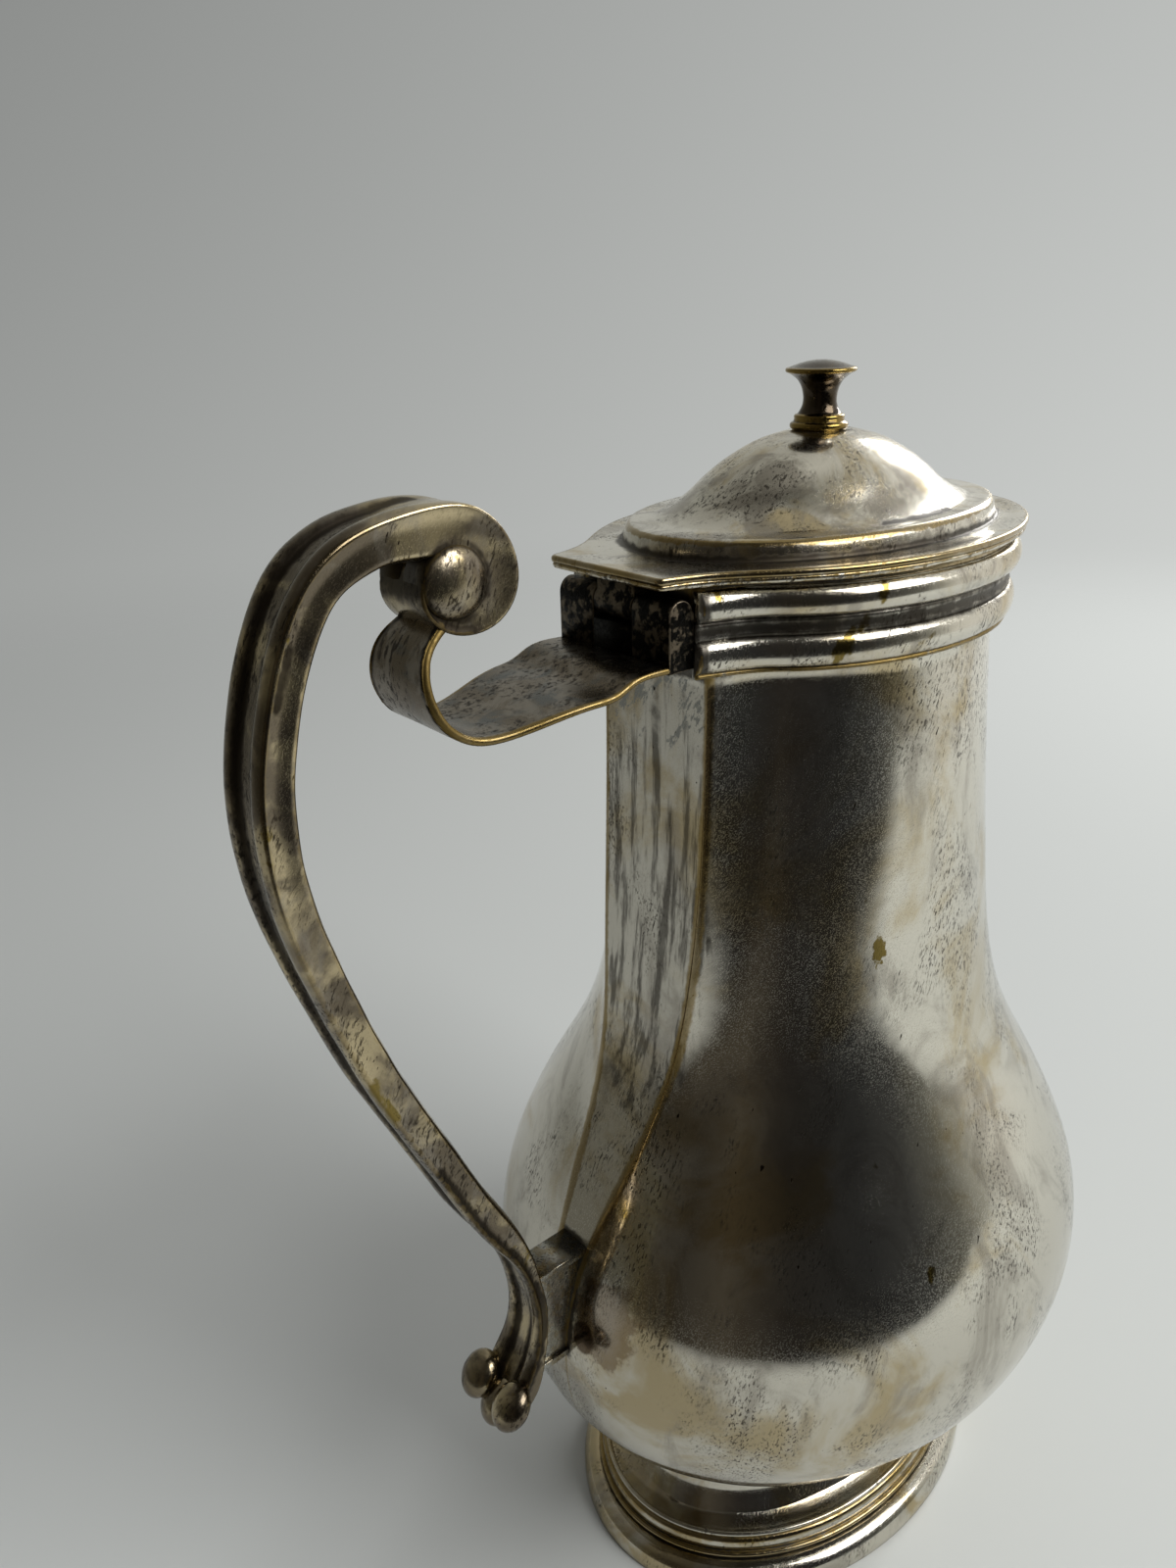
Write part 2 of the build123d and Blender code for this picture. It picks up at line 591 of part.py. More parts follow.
# Hinge: a thick plate with two end knuckles, the lid's middle knuckle and the pin
plate_outer = HINGE_X - KNUCKLE_RADIUS
hinge_plate = block(plate_outer, plate_rear, -HINGE_HALF, HINGE_HALF, PLATE_LOW, HINGE_Z)
hinge_plate = hinge_plate + rod(HINGE_X, HINGE_Z, -HINGE_HALF, HINGE_HALF, KNUCKLE_RADIUS)
swing_radius = KNUCKLE_RADIUS + KNUCKLE_SWING_GAP
swing_half = MIDDLE_KNUCKLE_HALF + KNUCKLE_GAP
swing_room = rod(HINGE_X, HINGE_Z, -swing_half, swing_half, swing_radius)
pin_bore = rod(HINGE_X, HINGE_Z, -HINGE_HALF - 1, HINGE_HALF + 1, PIN_RADIUS)
hinge_plate = hinge_plate - swing_room - pin_bore
top_room = block(plate_outer - 1, plate_rear + 1, -swing_half, swing_half, HINGE_Z, HINGE_Z + 4)
web_room_half = LID_WEB_HALF + KNUCKLE_SWING_GAP
web_room = block(-web_room_half, web_room_half, -swing_half, swing_half, 0, 2 * swing_radius)
web_room = Pos(HINGE_X, 0, HINGE_Z) * Rot(0, -LID_OPEN_DEG, 0) * web_room
hinge_plate = hinge_plate - top_room - web_room
save("hinge_plate", hinge_plate)

lid_knuckle = rod(HINGE_X, HINGE_Z, -MIDDLE_KNUCKLE_HALF, MIDDLE_KNUCKLE_HALF, KNUCKLE_RADIUS)
web = block(HINGE_X - LID_WEB_HALF, HINGE_X + LID_WEB_HALF, -MIDDLE_KNUCKLE_HALF,
            MIDDLE_KNUCKLE_HALF, HINGE_Z, LIP_LOW)
running_bore = rod(HINGE_X, HINGE_Z, -HINGE_HALF, HINGE_HALF, PIN_RADIUS + PIN_CLEARANCE)
lid_knuckle = lid_knuckle + web - running_bore
save("lid_hinge_knuckle", lid_knuckle)

pin_half = HINGE_HALF - PIN_SHORT
hinge_pin = rod(HINGE_X, HINGE_Z, -pin_half, pin_half, PIN_RADIUS)
save("hinge_pin", hinge_pin)


# Strap
def frame_at(points, index):
    """Unit direction of a route at a point, from its neighbours."""
    before = points[max(index - 1, 0)]
    after = points[min(index + 1, len(points) - 1)]
    dx = after[0] - before[0]
    dz = after[1] - before[1]
    length = math.hypot(dx, dz)
    return dx / length, dz / length


strap_wires = []
for index, (x, z, half) in enumerate(STRAP_ROUTE):
    dx, dz = frame_at(STRAP_ROUTE, index)
    if index == 0:
        dx, dz = -1.0, 0.0
    nx = -dz * STRAP_SHEET / 2
    nz = dx * STRAP_SHEET / 2
    corners = [(x + nx, -half, z + nz), (x + nx, half, z + nz), (x - nx, half, z - nz),
               (x - nx, -half, z - nz)]
    strap_wires.append(Wire.make_polygon([Vector(*corner) for corner in corners]))
handle_strap = Solid.make_loft(strap_wires, ruled=False)

# Handle: a cast scroll with a hollowed spine, a volute with a boss each side and a lobed tail
handle_wires = []
for outer_x, outer_z, inner_x, inner_z, half in HANDLE_SECTIONS:
    depth_x = inner_x - outer_x
    depth_z = inner_z - outer_z
    depth = math.hypot(depth_x, depth_z)
    ux = depth_x / depth
    uz = depth_z / depth
    valley = SPINE_VALLEY / depth
    flank = half - RIDGE_WIDTH
    inner_half = half * INNER_EDGE_SHARE
    ring = [(0.0, half - 0.35), (valley, flank), (valley, -flank), (0.0, -half + 0.35), (0.08, -half),
            (0.82, -half), (1.0, -inner_half), (1.0, inner_half), (0.82, half), (0.08, half)]
    points = []
    for share, y in ring:
        points.append(Vector(outer_x + ux * depth * share, y, outer_z + uz * depth * share))
    handle_wires.append(Wire.make_polygon(points))
band = Solid.make_loft(handle_wires, ruled=False)

volute_curve = Edge.make_spline([Vector(x, 0, z) for x, z in VOLUTE_OUTLINE])
volute_face = Face(Wire([volute_curve, Edge.make_line(volute_curve @ 1, volute_curve @ 0)]))
volute = Pos(0, -VOLUTE_HALF, 0) * Solid.extrude(volute_face, Vector(0, 2 * VOLUTE_HALF, 0))
boss_bar = rod(BOSS_X, BOSS_Z, -VOLUTE_HALF - BOSS_PROUD, VOLUTE_HALF + BOSS_PROUD, BOSS_RADIUS)
boss_edges = boss_bar.edges().filter_by(GeomType.CIRCLE)
boss_bar = fillet(boss_edges, BOSS_PROUD - BOSS_EDGE)
handle_scroll = band + volute + boss_bar
for x, y, z, radius in MEASURED_LOBES:
    lobe_x, lobe_z = placed(x, z)
    lobe = Pos(lobe_x, y, lobe_z) * Solid.make_sphere(radius, angle1=-90, angle2=90)
    handle_scroll = handle_scroll + lobe
save("handle_scroll", handle_scroll)

handle_strap = handle_strap - handle_scroll - hinge_plate
save("handle_strap", handle_strap)

socket_rear = -BEYOND
socket_front = -BODY_LEVELS[0][1]
socket = block(socket_rear, socket_front, -SOCKET_HALF, SOCKET_HALF, SOCKET_LOW, SOCKET_HIGH)
lip_half = SOCKET_HALF + SOCKET_LIP
for low in (SOCKET_LOW, SOCKET_HIGH - SOCKET_LIP_HEIGHT):
    socket = socket + block(socket_rear, socket_front, -lip_half, lip_half, low, low + SOCKET_LIP_HEIGHT)
beyond = []
for outer_x, outer_z, inner_x, inner_z, half in HANDLE_SECTIONS:
    if SOCKET_LOW - 12 < inner_z < SOCKET_HIGH + 12:
        beyond.append((inner_x - 0.5, inner_z))
keep_outline = beyond + [(socket_front, beyond[-1][1]), (socket_front, beyond[0][1])]
keep_wire = Wire.make_polygon([Vector(x, 0, z) for x, z in keep_outline])
keep = Pos(0, -10, 0) * Solid.extrude(Face(keep_wire), Vector(0, 20, 0))
handle_socket = (socket & keep) - outside - inside - handle_scroll
save("handle_socket", handle_socket)

print("pieces:", len(os.listdir("parts")))
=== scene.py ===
import json
import math

import bmesh
import bpy
import numpy as np
from bpy.props import FloatProperty, FloatVectorProperty, IntProperty, PointerProperty
from bpy.types import Operator, Panel, PropertyGroup
from mathutils import Matrix, Vector, noise
from mathutils.kdtree import KDTree


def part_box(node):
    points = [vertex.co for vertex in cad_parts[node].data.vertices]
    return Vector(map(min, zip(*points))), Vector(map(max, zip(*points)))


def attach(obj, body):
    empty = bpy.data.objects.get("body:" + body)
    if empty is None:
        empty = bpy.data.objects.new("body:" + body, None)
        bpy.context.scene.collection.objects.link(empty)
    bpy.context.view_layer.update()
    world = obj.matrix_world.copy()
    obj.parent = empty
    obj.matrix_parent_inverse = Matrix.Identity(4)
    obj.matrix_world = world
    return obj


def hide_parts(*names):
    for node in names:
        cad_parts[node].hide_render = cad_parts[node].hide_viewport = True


bl_info = {
    "name": "Barber's Jug",
    "version": (1, 0, 0),
    "blender": (4, 5, 0),
    "location": "View3D > Sidebar > Jug",
    "description": "Builds the finished surfaces of an oval silver plated barber's jug round its frame",
    "category": "Add Mesh",
}

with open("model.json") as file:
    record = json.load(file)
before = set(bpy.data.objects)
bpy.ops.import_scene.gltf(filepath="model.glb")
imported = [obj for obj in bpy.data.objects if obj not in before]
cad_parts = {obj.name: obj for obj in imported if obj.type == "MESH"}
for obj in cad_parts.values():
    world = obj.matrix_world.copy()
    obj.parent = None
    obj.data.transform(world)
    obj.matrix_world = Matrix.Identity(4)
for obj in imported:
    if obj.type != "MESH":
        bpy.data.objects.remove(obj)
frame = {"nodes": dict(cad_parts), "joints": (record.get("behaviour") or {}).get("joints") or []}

MM = 0.001
FAR_OFF = 60.0  # mm, what a point reads when no worn edge or hollow is near
JUG = "jug"
LID = "lid"


def low_high(node):
    """Lowest and highest corner of a frame node, in mm."""
    low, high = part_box(node)
    return low / MM, high / MM


FOOT_HIGH = low_high("foot_shell")[1]
BODY_LOW, BODY_HIGH = low_high("body_shell")
LID_LOW, LID_HIGH = low_high("lid_shell")
RIM_LOW, RIM_HIGH = low_high("lid_rim")
BEZEL_LOW, BEZEL_HIGH = low_high("lid_bezel")
PLATE_LOW, PLATE_HIGH = low_high("hinge_plate")
KNUCKLE_LOW, KNUCKLE_HIGH = low_high("lid_hinge_knuckle")
KNOB_LOW, KNOB_HIGH = low_high("lid_knob")
WASHER_LOW, WASHER_HIGH = low_high("knob_washer")
STUD_LOW, STUD_HIGH = low_high("knob_stud")
LOWER_BEAD = low_high("neck_lower_bead")
UPPER_BEAD = low_high("neck_upper_bead")
HINGE = [c / MM for c in frame["joints"][0]["pos_m"]]

# Body outline in mm: height, half length, half width, distance of the flat rear panel, its half width
BODY_OUTLINE = (
    (17.0, 35.2, 23.6, 35.2, 1.6), (23.0, 38.9, 29.2, 38.8, 1.6),
    (30.0, 43.8, 34.8, 43.7, 1.7), (42.0, 55.0, 45.8, 54.9, 1.9),
    (54.0, 60.2, 51.8, 60.1, 2.2), (66.0, 61.4, 53.8, 61.2, 2.6),
    (77.0, 59.8, 52.7, 59.6, 3.0), (87.0, 56.0, 49.2, 55.9, 3.8),
    (97.0, 50.8, 44.4, 50.8, 5.2), (107.0, 45.2, 39.0, 45.5, 6.8),
    (118.0, 40.6, 34.8, 41.3, 8.6), (131.0, 37.9, 32.0, 39.0, 10.2),
    (148.0, 36.0, 30.0, 37.5, 11.2), (168.0, 34.5, 28.2, 36.4, 11.5),
    (186.5, 33.6, 26.9, 36.0, 11.6),
)
OVAL_POINTS = 57     # round half of the body's plan
CORNER_RUN = (0.12, 0.24, 0.36, 0.48, 0.6, 0.7, 0.79, 0.87)  # shares of the way on to the panel's corner
LEVEL_STEP = 1.6     # mm between the body's levels
COLLAR_START = 190.0
COLLAR = (36.2, 28.3, 39.5, 11.9)
SOCKET_HEIGHTS = (66.0, 87.0)

# Dome of the lid: height over the flange, share of the step ring
DOME_OUTLINE = (
    (2.9, 0.850), (3.7, 0.775), (5.0, 0.700), (8.0, 0.585),
    (11.2, 0.440), (13.3, 0.300), (14.4, 0.170),
)
STEP_RING = (36.3, 24.3)
# Step between the flange and the dome: how far it is drawn in, and its height over the flange
STEP_OUTLINE = (
    (0.0, 0.02), (0.12, 0.2), (0.22, 0.5), (0.34, 1.1), (0.5, 1.8),
    (0.72, 2.3), (1.1, 2.68), (1.7, 2.86), (2.4, 2.9),
)
LID_OVAL_END = 128.0  # degrees round from the front, where the lid's plan leaves its oval

STUD_RADIUS = 1.25  # of the riveted stud's shank

# Strap: centre line x and z, half width
STRAP_ROUTE = (
    (-43.9, 189.8, 12.0), (-47.6, 189.9, 12.0), (-50.6, 189.5, 12.0),
    (-53.4, 188.4, 12.0), (-57.5, 187.9, 11.6), (-63.5, 187.0, 10.3),
    (-69.4, 186.0, 8.9), (-73.8, 186.2, 8.2), (-77.2, 188.1, 7.8),
    (-79.3, 191.3, 7.4), (-79.9, 195.0, 6.8), (-78.9, 198.2, 6.0),
    (-76.8, 200.2, 5.2), (-74.6, 201.6, 4.6),
)

# Handle: outer x and z, inner x and z, half width, depth of the channel between the ridges
HANDLE_ROUTE = (
    (-77.8, 208.6, -75.8, 207.4, 5.0, 0.05), (-78.8, 204.8, -75.6, 205.7, 5.1, 0.05),
    (-76.4, 200.8, -74.6, 204.4, 5.15, 0.05), (-72.0, 199.3, -73.2, 204.4, 5.2, 0.05),
    (-67.7, 200.2, -72.2, 205.3, 5.2, 0.05), (-64.8, 203.1, -71.8, 206.3, 5.2, 0.05),
    (-64.2, 207.6, -72.0, 207.6, 5.2, 0.05), (-66.3, 212.1, -72.8, 208.4, 5.2, 0.05),
    (-70.4, 215.3, -73.8, 208.8, 5.2, 0.1), (-75.4, 216.2, -76.2, 209.1, 5.2, 0.45),
    (-80.6, 216.0, -80.9, 209.4, 5.2, 1.0), (-87.2, 214.6, -84.9, 208.8, 5.2, 1.1),
    (-92.7, 211.4, -89.0, 206.8, 5.2, 1.1), (-96.5, 206.7, -91.9, 203.4, 5.2, 1.1),
    (-99.2, 201.0, -94.1, 198.9, 5.2, 1.1), (-101.3, 194.7, -95.9, 193.3, 5.2, 1.1),
    (-102.8, 188.0, -97.2, 187.4, 5.2, 1.1), (-103.4, 180.1, -97.8, 180.2, 5.2, 1.1),
    (-102.7, 170.9, -97.2, 171.9, 5.2, 1.0), (-100.2, 160.2, -94.8, 161.6, 5.2, 1.0),
    (-96.8, 149.3, -91.7, 151.0, 5.2, 0.9), (-93.0, 138.7, -88.0, 140.7, 5.2, 0.9),
    (-88.6, 128.4, -83.7, 130.5, 5.2, 0.9), (-84.0, 118.2, -79.2, 120.3, 5.1, 0.8),
    (-79.9, 109.0, -75.2, 111.3, 5.0, 0.8), (-75.7, 101.0, -71.2, 103.3, 4.9, 0.7),
    (-71.5, 93.8, -68.1, 95.3, 4.7, 0.7), (-68.9, 86.3, -66.3, 86.9, 4.5, 0.7),
    (-68.0, 79.1, -65.5, 79.1, 4.5, 0.8), (-69.2, 72.8, -66.5, 72.1, 4.8, 0.9),
    (-72.2, 67.5, -68.8, 65.1, 5.2, 0.8), (-74.9, 63.4, -71.6, 61.0, 4.7, 0.5),
)
BOSS = (-73.8, 206.3, 4.8)  # x, z and radius
BOSS_RIM = 5.05  # y where the boss leaves the volute's flank
LOBE_LEAN = 40.0  # degrees
# Lobes at the tail's end: centre x, y, z and radius along x, y, z
TAIL_LOBES = (
    (-74.7, 4.5, 65.4, 2.6, 3.5, 4.2),
    (-74.7, -4.5, 65.4, 2.6, 3.5, 4.2),
    (-73.9, 0.0, 62.2, 2.6, 3.5, 4.3),
)

# Camera, from the photograph's perspective
CAMERA_PLACE = (-152.4, -125.1, 239.2)  # mm
CAMERA_TURN = -39.38  # degrees
CAMERA_DIP = 22.87
CAMERA_ROLL = -1.88
CAMERA_LENS = 27.0
CAMERA_SENSOR = 36.0

# Stage: where the floor fades out, in metres from the jug and toward the camera, and the backdrop,
# with painted shade that grows darker up and to the left of the camera's view
TOWARD_CAMERA = (-0.635, -0.773, 0.0)
FLOOR_END = (0.35, 1.1)
FLOOR_EDGE = (0.22, 0.36)
BACKDROP_SHADE_SLOPE = (0.156, -0.269, -0.257)
BACKDROP_LEVEL = 0.53


def hex_linear(code):
    """Linear colour with alpha from an sRGB hex code."""
    shares = [int(code[i : i + 2], 16) / 255 for i in (0, 2, 4)]
    linear = [s / 12.92 if s <= 0.04045 else ((s + 0.055) / 1.055) ** 2.4 for s in shares]
    return (*linear, 1.0)


def colour(name, description, code):
    """A colour a user can change."""
    return FloatVectorProperty(
        name=name, description=description, size=4, subtype="COLOR", min=0, max=1, default=hex_linear(code)
    )


def length(name, description, millimetres, most=0.1):
    """A length a user can change, kept in metres."""
    size = {"default": millimetres * MM, "min": 0.0, "max": most, "unit": "LENGTH", "precision": 5}
    return FloatProperty(name=name, description=description, **size)


def amount(name, description, default, **limits):
    """A power or strength a user can change."""
    return FloatProperty(name=name, description=description, default=default, min=0, **limits)


class JugSizes(PropertyGroup):
    """Sizes of the finish."""

    wall: length("Body wall", "Thickness of the body's sheet", 1.0)
    crease_radius: length("Crease rounding", "How far the rear panel's corners are rubbed round", 0.8)
    waviness: length("Waviness", "How far the raised body wanders from a true surface", 0.10)
    strap_sheet: length("Strap sheet", "Thickness of the strap under the handle", 1.1)
    lid_sheet: length("Lid sheet", "Thickness of the lid's sheet", 1.0)
    foot_wall: length("Foot wall", "Thickness of the foot's sheet", 1.2)
    round_steps: IntProperty(
        name="Round steps", description="Points round a turned piece", default=72, min=24, max=256
    )


class JugColours(PropertyGroup):
    """Colours of the finishes, each as it looks in plain light."""

    plate: colour("Plate", "Silver plate where it is clean", "D2CDC0")
    champagne: colour("Champagne", "Plate worn thin, so that the brass warms it", "B8A988")
    haze: colour("Haze", "Grey sulphide bloom", "928B80")
    # Also laid as a painted reflection of dark streaks on the rear panel
    shade: colour("Shade", "Dark brown sulphide in pits and speckles", "2A241D")
    brass: colour("Brass", "Bare brass on rubbed edges", "8A7440")
    dull_brass: colour("Dull brass", "Bare brass in patches, oxidised", "7C6C3C")
    tarnish: colour("Tarnish", "Brown grey film on the handle", "6E6455")
    slate: colour("Slate", "Dark grey film on the strap", "5C5D5A")
    # Painted reflection: the copper-orange mirrored in the body beside the socket, laid on as colour
    copper: colour("Copper stain", "Brown heat stain beside the socket", "6B5030")
    amber: colour("Amber drop", "Hard brown drop beside the socket", "4E3A22")
    solder: colour("Solder", "Grey lead solder", "9A9A94")
    # Painted shade: the hinge's colour is deepened to near black where the hinge lies in shade
    hinge_black_as_shade: colour("Hinge black", "Black oxide of the hinge", "12110F")
    bronze: colour("Knob bronze", "Dark bronze of the knob", "4A4136")


class JugStage(PropertyGroup):
    """Stage, lamps and camera."""

    floor: colour("Floor", "Pale board the jug stands on", "DDE0DD")
    backdrop: colour("Backdrop", "What the camera sees past the floor, in full light", "FCFFFC")
    key_power: amount("Key lamp", "Power of the large soft lamp", 9.5, unit="POWER")
    side_power: amount("Side lamp", "Power of the window side lamp", 5.0, unit="POWER")
    room_light: amount("Room light", "Strength of the even light", 0.17, max=4)


def sizes():
    """Size settings of the scene."""
    return bpy.context.scene.jug_sizes


def colours():
    """Colour settings of the scene."""
    return bpy.context.scene.jug_colours


# Curves and outlines


def cubic_through(keys, rows):
    """Natural cubic through rows of numbers at rising keys, as a function of the key."""
    x = np.array(keys, float)
    y = np.array(rows, float)
    gap = np.diff(x)
    count = len(x)
    system = np.eye(count)
    right = np.zeros_like(y)
    for i in range(1, count - 1):
        system[i, i - 1 : i + 2] = gap[i - 1], 2 * (gap[i - 1] + gap[i]), gap[i]
        right[i] = 6 * ((y[i + 1] - y[i]) / gap[i] - (y[i] - y[i - 1]) / gap[i - 1])
    bend = np.linalg.solve(system, right)

    def at(key):
        i = int(np.clip(np.searchsorted(x, key) - 1, 0, count - 2))
        a = (x[i + 1] - key) / gap[i]
        b = 1 - a
        return a * y[i] + b * y[i + 1] + ((a**3 - a) * bend[i] + (b**3 - b) * bend[i + 1]) * gap[i] ** 2 / 6

    return at


def along(rows, places):
    """Keys for rows of a route: running distance over the given place columns."""
    keys = [0.0]
    for before, after in zip(rows, rows[1:]):
        keys.append(keys[-1] + math.dist([before[i] for i in places], [after[i] for i in places]))
    return keys


def jug_section(half_length, half_width, rear, rear_half, rounding, inset=0.0):
    """Plan of the body at one level: an oval with a flat rear panel, its corners rubbed round."""
    length_in = half_length - inset
    width_in = half_width - inset
    corner = Vector((inset - rear, rear_half - 0.4 * inset))
    last = math.pi - math.asin(corner.y / width_in) - math.radians(14.0)
    side = []
    for i in range(OVAL_POINTS):
        angle = last * i / (OVAL_POINTS - 1)
        side.append(Vector((length_in * math.cos(angle), width_in * math.sin(angle))))
    heading = Vector((-length_in * math.sin(last), width_in * math.cos(last))).normalized()
    chord = corner - side[-1]
    pull = heading * chord.length
    drop = (pull - chord) / 2
    start = side[-1]
    for t in CORNER_RUN:
        side.append(start + pull * t - 3 * drop * t**2 + drop * t**3)
    towards = (side[-1] - corner).normalized()
    panel = Vector((0.0, -1.0))
    for t in (0.0, 0.25, 0.5, 0.75, 1.0):
        bend = corner + towards * rounding * (1 - t) ** 2 + panel * rounding * t**2
        side.append(bend)
    edge = side[-1].y
    for share in (0.8, 0.55, 0.28):
        side.append(Vector((corner.x, edge * share)))
    middle = [Vector((corner.x, 0.0))]
    return side + middle + [Vector((p.x, -p.y)) for p in reversed(side[1:])]


def body_levels():
    """The body's outline as a function of height, up into the straight collar."""
    curve = cubic_through([row[0] for row in BODY_OUTLINE], [row[1:] for row in BODY_OUTLINE])
    top = BODY_OUTLINE[-1][0]

    def at(z):
        if z <= top:
            return curve(z)
        share = min(1.0, (z - top) / (COLLAR_START - top))
        return curve(top) * (1 - share) + np.array(COLLAR) * share

    return at


def flat_ring(points, z):
    """Points of a plan at a height."""
    return [Vector((p[0], p[1], z)) for p in points]


def oval(half_length, half_width, z, count=160):
    """Ring of points on an oval."""
    ring = []
    for i in range(count):
        angle = 2 * math.pi * i / count
        ring.append(Vector((half_length * math.cos(angle), half_width * math.sin(angle), z)))
    return ring


# Mesh building, all in mm until a piece is finished


def first_ring(bm, points):
    """A closed ring of vertices, started from a circle."""
    ring = bmesh.ops.create_circle(bm, cap_ends=False, radius=1.0, segments=len(points))["verts"]
    for vertex, point in zip(ring, points):
        vertex.co = point
    return ring


def ring_edges(bm, ring):
    """Edges between the neighbours of a closed ring."""
    return [bm.edges.get((a, b)) for a, b in zip(ring, ring[1:] + ring[:1])]


def grow(bm, ring, points):
    """Extrude a closed ring once and put its new vertices on the points."""
    made = bmesh.ops.extrude_edge_only(bm, edges=ring_edges(bm, ring))["geom"]
    fresh = {g for g in made if isinstance(g, bmesh.types.BMVert)}
    top = []
    for vertex, point in zip(ring, points):
        new = next(e.other_vert(vertex) for e in vertex.link_edges if e.other_vert(vertex) in fresh)
        new.co = point
        top.append(new)
    return top


def loft(bm, rings, ends="open"):
    """Skin over closed rings; ends are left open, capped with a face each, or joined to each other."""
    first = first_ring(bm, rings[0])
    ring = first
    for points in rings[1:]:
        ring = grow(bm, ring, points)
    if ends == "capped":
        for end in (first, ring):
            bmesh.ops.edgeloop_fill(bm, edges=ring_edges(bm, end))
    if ends == "joined":
        for a, b, c, d in zip(first, first[1:] + first[:1], ring[1:] + ring[:1], ring):
            bm.faces.new((a, b, c, d))
    return first, ring


def skin(rings, ends="joined"):
    """New mesh with a skin over closed rings."""
    bm = bmesh.new()
    loft(bm, rings, ends)
    return bm


def bar(bm, outline, y_low, y_high, bevel=0.2):
    """Solid of an x and z outline between two y planes, its corners bevelled."""
    first, last = loft(bm, [[Vector((x, y, z)) for x, z in outline] for y in (y_low, y_high)], ends="capped")
    edges = set(ring_edges(bm, first) + ring_edges(bm, last))
    if bevel > 0:
        bmesh.ops.bevel(bm, geom=list(edges), offset=bevel, segments=3, profile=0.5, affect="EDGES", material=-1)


def turned(bm, profile, steps, middle=(0.0, 0.0)):
    """Solid turned round Z from a profile of radius and height; its ends lie on the axis."""
    x, y = middle
    points = [bm.verts.new((x + r, y, z)) for r, z in profile]
    edges = [bm.edges.new(pair) for pair in zip(points, points[1:])]
    whole = {"angle": 2 * math.pi, "steps": steps, "use_merge": True, "use_duplicate": False}
    bmesh.ops.spin(bm, geom=points + edges, cent=(x, y, 0), axis=(0, 0, 1), **whole)
    bmesh.ops.remove_doubles(bm, verts=bm.verts, dist=0.001)


def turn_about(bm, verts, degrees, axis):
    """Turn vertices about an axis through the origin."""
    bmesh.ops.rotate(bm, verts=verts, cent=(0, 0, 0), matrix=Matrix.Rotation(math.radians(degrees), 3, axis))


def nearest_of(points):
    """Tree that gives the distance to the nearest of some points, or None if there are none."""
    if not points:
        return None
    tree = KDTree(len(points))
    for i, point in enumerate(points):
        tree.insert(point, i)
    tree.balance()
    return tree


def weather(bm, proud_bend=0.55, hollow_bend=0.35, proud=None, hollow=None):
    """Store on every vertex how far, in mm, the nearest rubbed edge and the nearest dirty hollow are.

    An edge counts as rubbed or hollow by how sharply the surface turns over it, in radians a mm.
    proud and hollow are functions of a point that give a further distance.
    """
    bm.normal_update()
    rubbed, sunk = [], []
    for edge in bm.edges:
        if len(edge.link_faces) != 2:
            continue
        a, b = edge.link_faces
        span = (a.calc_center_median() - b.calc_center_median()).length
        bend = edge.calc_face_angle_signed(0.0) / max(span, 0.02)
        middle = (edge.verts[0].co + edge.verts[1].co) / 2
        if bend > proud_bend:
            rubbed += [middle, edge.verts[0].co.copy(), edge.verts[1].co.copy()]
        elif bend < -hollow_bend:
            sunk += [middle, edge.verts[0].co.copy(), edge.verts[1].co.copy()]
    for name, points, more in (("edge_mm", rubbed, proud), ("hollow_mm", sunk, hollow)):
        layer = bm.verts.layers.float.new(name)
        tree = nearest_of(points)
        for vertex in bm.verts:
            reach = tree.find(vertex.co)[2] if tree else FAR_OFF
            if more:
                reach = min(reach, more(vertex.co))
            vertex[layer] = min(reach, FAR_OFF)


def wander(bm, depth, size, seed=0.0):
    """Push every vertex along its normal by a smooth random amount of one size, in mm."""
    bm.normal_update()
    shift = Vector((seed, seed * 1.7, seed * 0.6))
    moves = []
    for vertex in bm.verts:
        moves.append(vertex.normal * depth * noise.noise(vertex.co / size + shift))
    for vertex, move in zip(bm.verts, moves):
        vertex.co += move


def finish_piece(bm, name, body, slot, material, *nodes, wavy=None, **worn):
    """Turn a mesh in mm into a finished piece in metres, riding on its body.

    wavy is the depth and size, in mm, of how far its surface wanders.
    """
    bmesh.ops.recalc_face_normals(bm, faces=bm.faces)
    if bm.calc_volume(signed=True) < 0:
        bmesh.ops.reverse_faces(bm, faces=bm.faces)
    weather(bm, **worn)
    if wavy:
        wander(bm, *wavy, seed=len(name))
    bmesh.ops.scale(bm, vec=(MM, MM, MM), verts=bm.verts)
    mesh = bpy.data.meshes.new(name)
    bm.to_mesh(mesh)
    bm.free()
    mesh.shade_smooth()
    piece = bpy.data.objects.new(name, mesh)
    bpy.context.scene.collection.objects.link(piece)
    mesh.materials.append(material)
    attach(piece, body)
    if nodes:
        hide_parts(*nodes)
    return piece


# Materials


def add(tree, kind, inputs=None, **settings):
    """Add a node with its settings; an input that is a socket is linked, any other is set."""
    made = tree.nodes.new(kind)
    for key, value in settings.items():
        setattr(made, key, value)
    for key, value in (inputs or {}).items():
        if isinstance(value, bpy.types.NodeSocket):
            tree.links.new(value, made.inputs[key])
        else:
            made.inputs[key].default_value = value
    return made


def new_finish(name):
    """Empty material, its tree and its metal shader."""
    material = bpy.data.materials.new(name)
    material.use_nodes = True
    tree = material.node_tree
    tree.nodes.clear()
    shader = add(tree, "ShaderNodeBsdfPrincipled", {"Metallic": 1.0})
    add(tree, "ShaderNodeOutputMaterial", {"Surface": shader.outputs[0]})
    return material, tree, shader


def maths(tree, operation, *values):
    """Result of one sum on numbers or sockets."""
    return add(tree, "ShaderNodeMath", dict(enumerate(values)), operation=operation).outputs[0]


def blend(tree, share, one, other):
    """One colour turned into the other by a share."""
    return add(tree, "ShaderNodeMix", {0: share, 6: one, 7: other}, data_type="RGBA").outputs[2]


